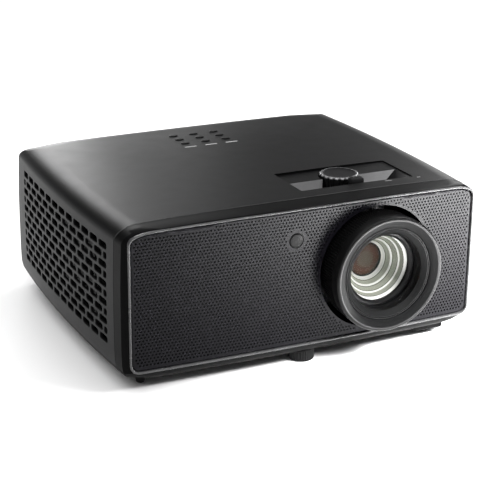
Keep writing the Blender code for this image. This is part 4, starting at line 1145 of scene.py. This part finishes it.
world = bpy.data.worlds.new("studio")
SCENE.world = world
world.use_nodes = True
wnt = world.node_tree
bg = wnt.nodes["Background"]
wtc = wnt.nodes.new("ShaderNodeTexCoord")
wsep = wnt.nodes.new("ShaderNodeSeparateXYZ")
wnt.links.new(wtc.outputs["Generated"], wsep.inputs["Vector"])
wr = wnt.nodes.new("ShaderNodeValToRGB")
we = wr.color_ramp.elements
we[0].position, we[0].color = 0.0, (0.90, 0.90, 0.905, 1)
we[1].position, we[1].color = 1.0, (0.05, 0.05, 0.05, 1)
a = we.new(0.12)
a.color = (0.86, 0.86, 0.865, 1)
a = we.new(0.24)
a.color = (0.035, 0.035, 0.035, 1)
wnt.links.new(wsep.outputs["Z"], wr.inputs["Fac"])
wnt.links.new(wr.outputs["Color"], bg.inputs["Color"])
bg.inputs["Strength"].default_value = 1.0


def softbox(name, loc, aim, sx, sy, power, spread=180.0):
    li = bpy.data.lights.new(name, 'AREA')
    li.shape = 'RECTANGLE'
    li.size, li.size_y = sx, sy
    li.energy = power
    li.spread = math.radians(spread)
    ob = bpy.data.objects.new(name, li)
    ob.location = loc
    ob.rotation_euler = (Vector(aim) - Vector(loc)).to_track_quat('-Z', 'Y').to_euler()
    ob.visible_camera = False
    SCENE.collection.objects.link(ob)
    return ob


sun = bpy.data.lights.new("overhead_soft", 'SUN')
sun.energy = 3.6
sun.angle = math.radians(95)
sun_ob = bpy.data.objects.new("overhead_soft", sun)
sun_ob.rotation_euler = (math.radians(8), math.radians(-6), 0)
SCENE.collection.objects.link(sun_ob)
softbox("back_panel_left", (0.03, 0.95, 0.44), (-0.12, 0.0, 0.14), 0.26, 0.60, 3.4)
softbox("back_panel_mid", (0.27, 0.96, 0.44), (-0.02, 0.0, 0.14), 0.24, 0.60, 0.4)
softbox("back_panel_right", (1.10, 0.75, 0.62), (0.14, -0.08, 0.14), 0.5, 0.5, 5.5)
floor_glow = softbox("front_right_low", (0.60, -0.70, 0.50), (0.46, -0.52, 0.0), 0.40, 0.40, 50.0, 70.0)
floor_glow.visible_glossy = False

cam = bpy.data.cameras.new("camera")
cam.sensor_fit = 'HORIZONTAL'
cam.sensor_width = 36.0
cam.lens = 106.70
cam.clip_start, cam.clip_end = 0.02, 100.0
camera = bpy.data.objects.new("camera", cam)
AZ, EL, ROLL_A, DIST = -0.448, 0.351, 0.008, 1.385464
back = Vector((math.sin(AZ) * math.cos(EL), -math.cos(AZ) * math.cos(EL), math.sin(EL)))
right = Vector((math.cos(AZ), math.sin(AZ), 0))
up = back.cross(right)
r2 = right * math.cos(ROLL_A) + up * math.sin(ROLL_A)
u2 = up * math.cos(ROLL_A) - right * math.sin(ROLL_A)
target = Vector((0.014065, 0.0 + Y_SHIFT * 0.001, 0.041322 + FOOT * 0.001))
mw = Matrix((r2, u2, back)).transposed().to_4x4()
mw.translation = target + back * DIST
camera.matrix_world = mw
SCENE.collection.objects.link(camera)
SCENE.camera = camera
SCENE.view_settings.view_transform = 'Standard'
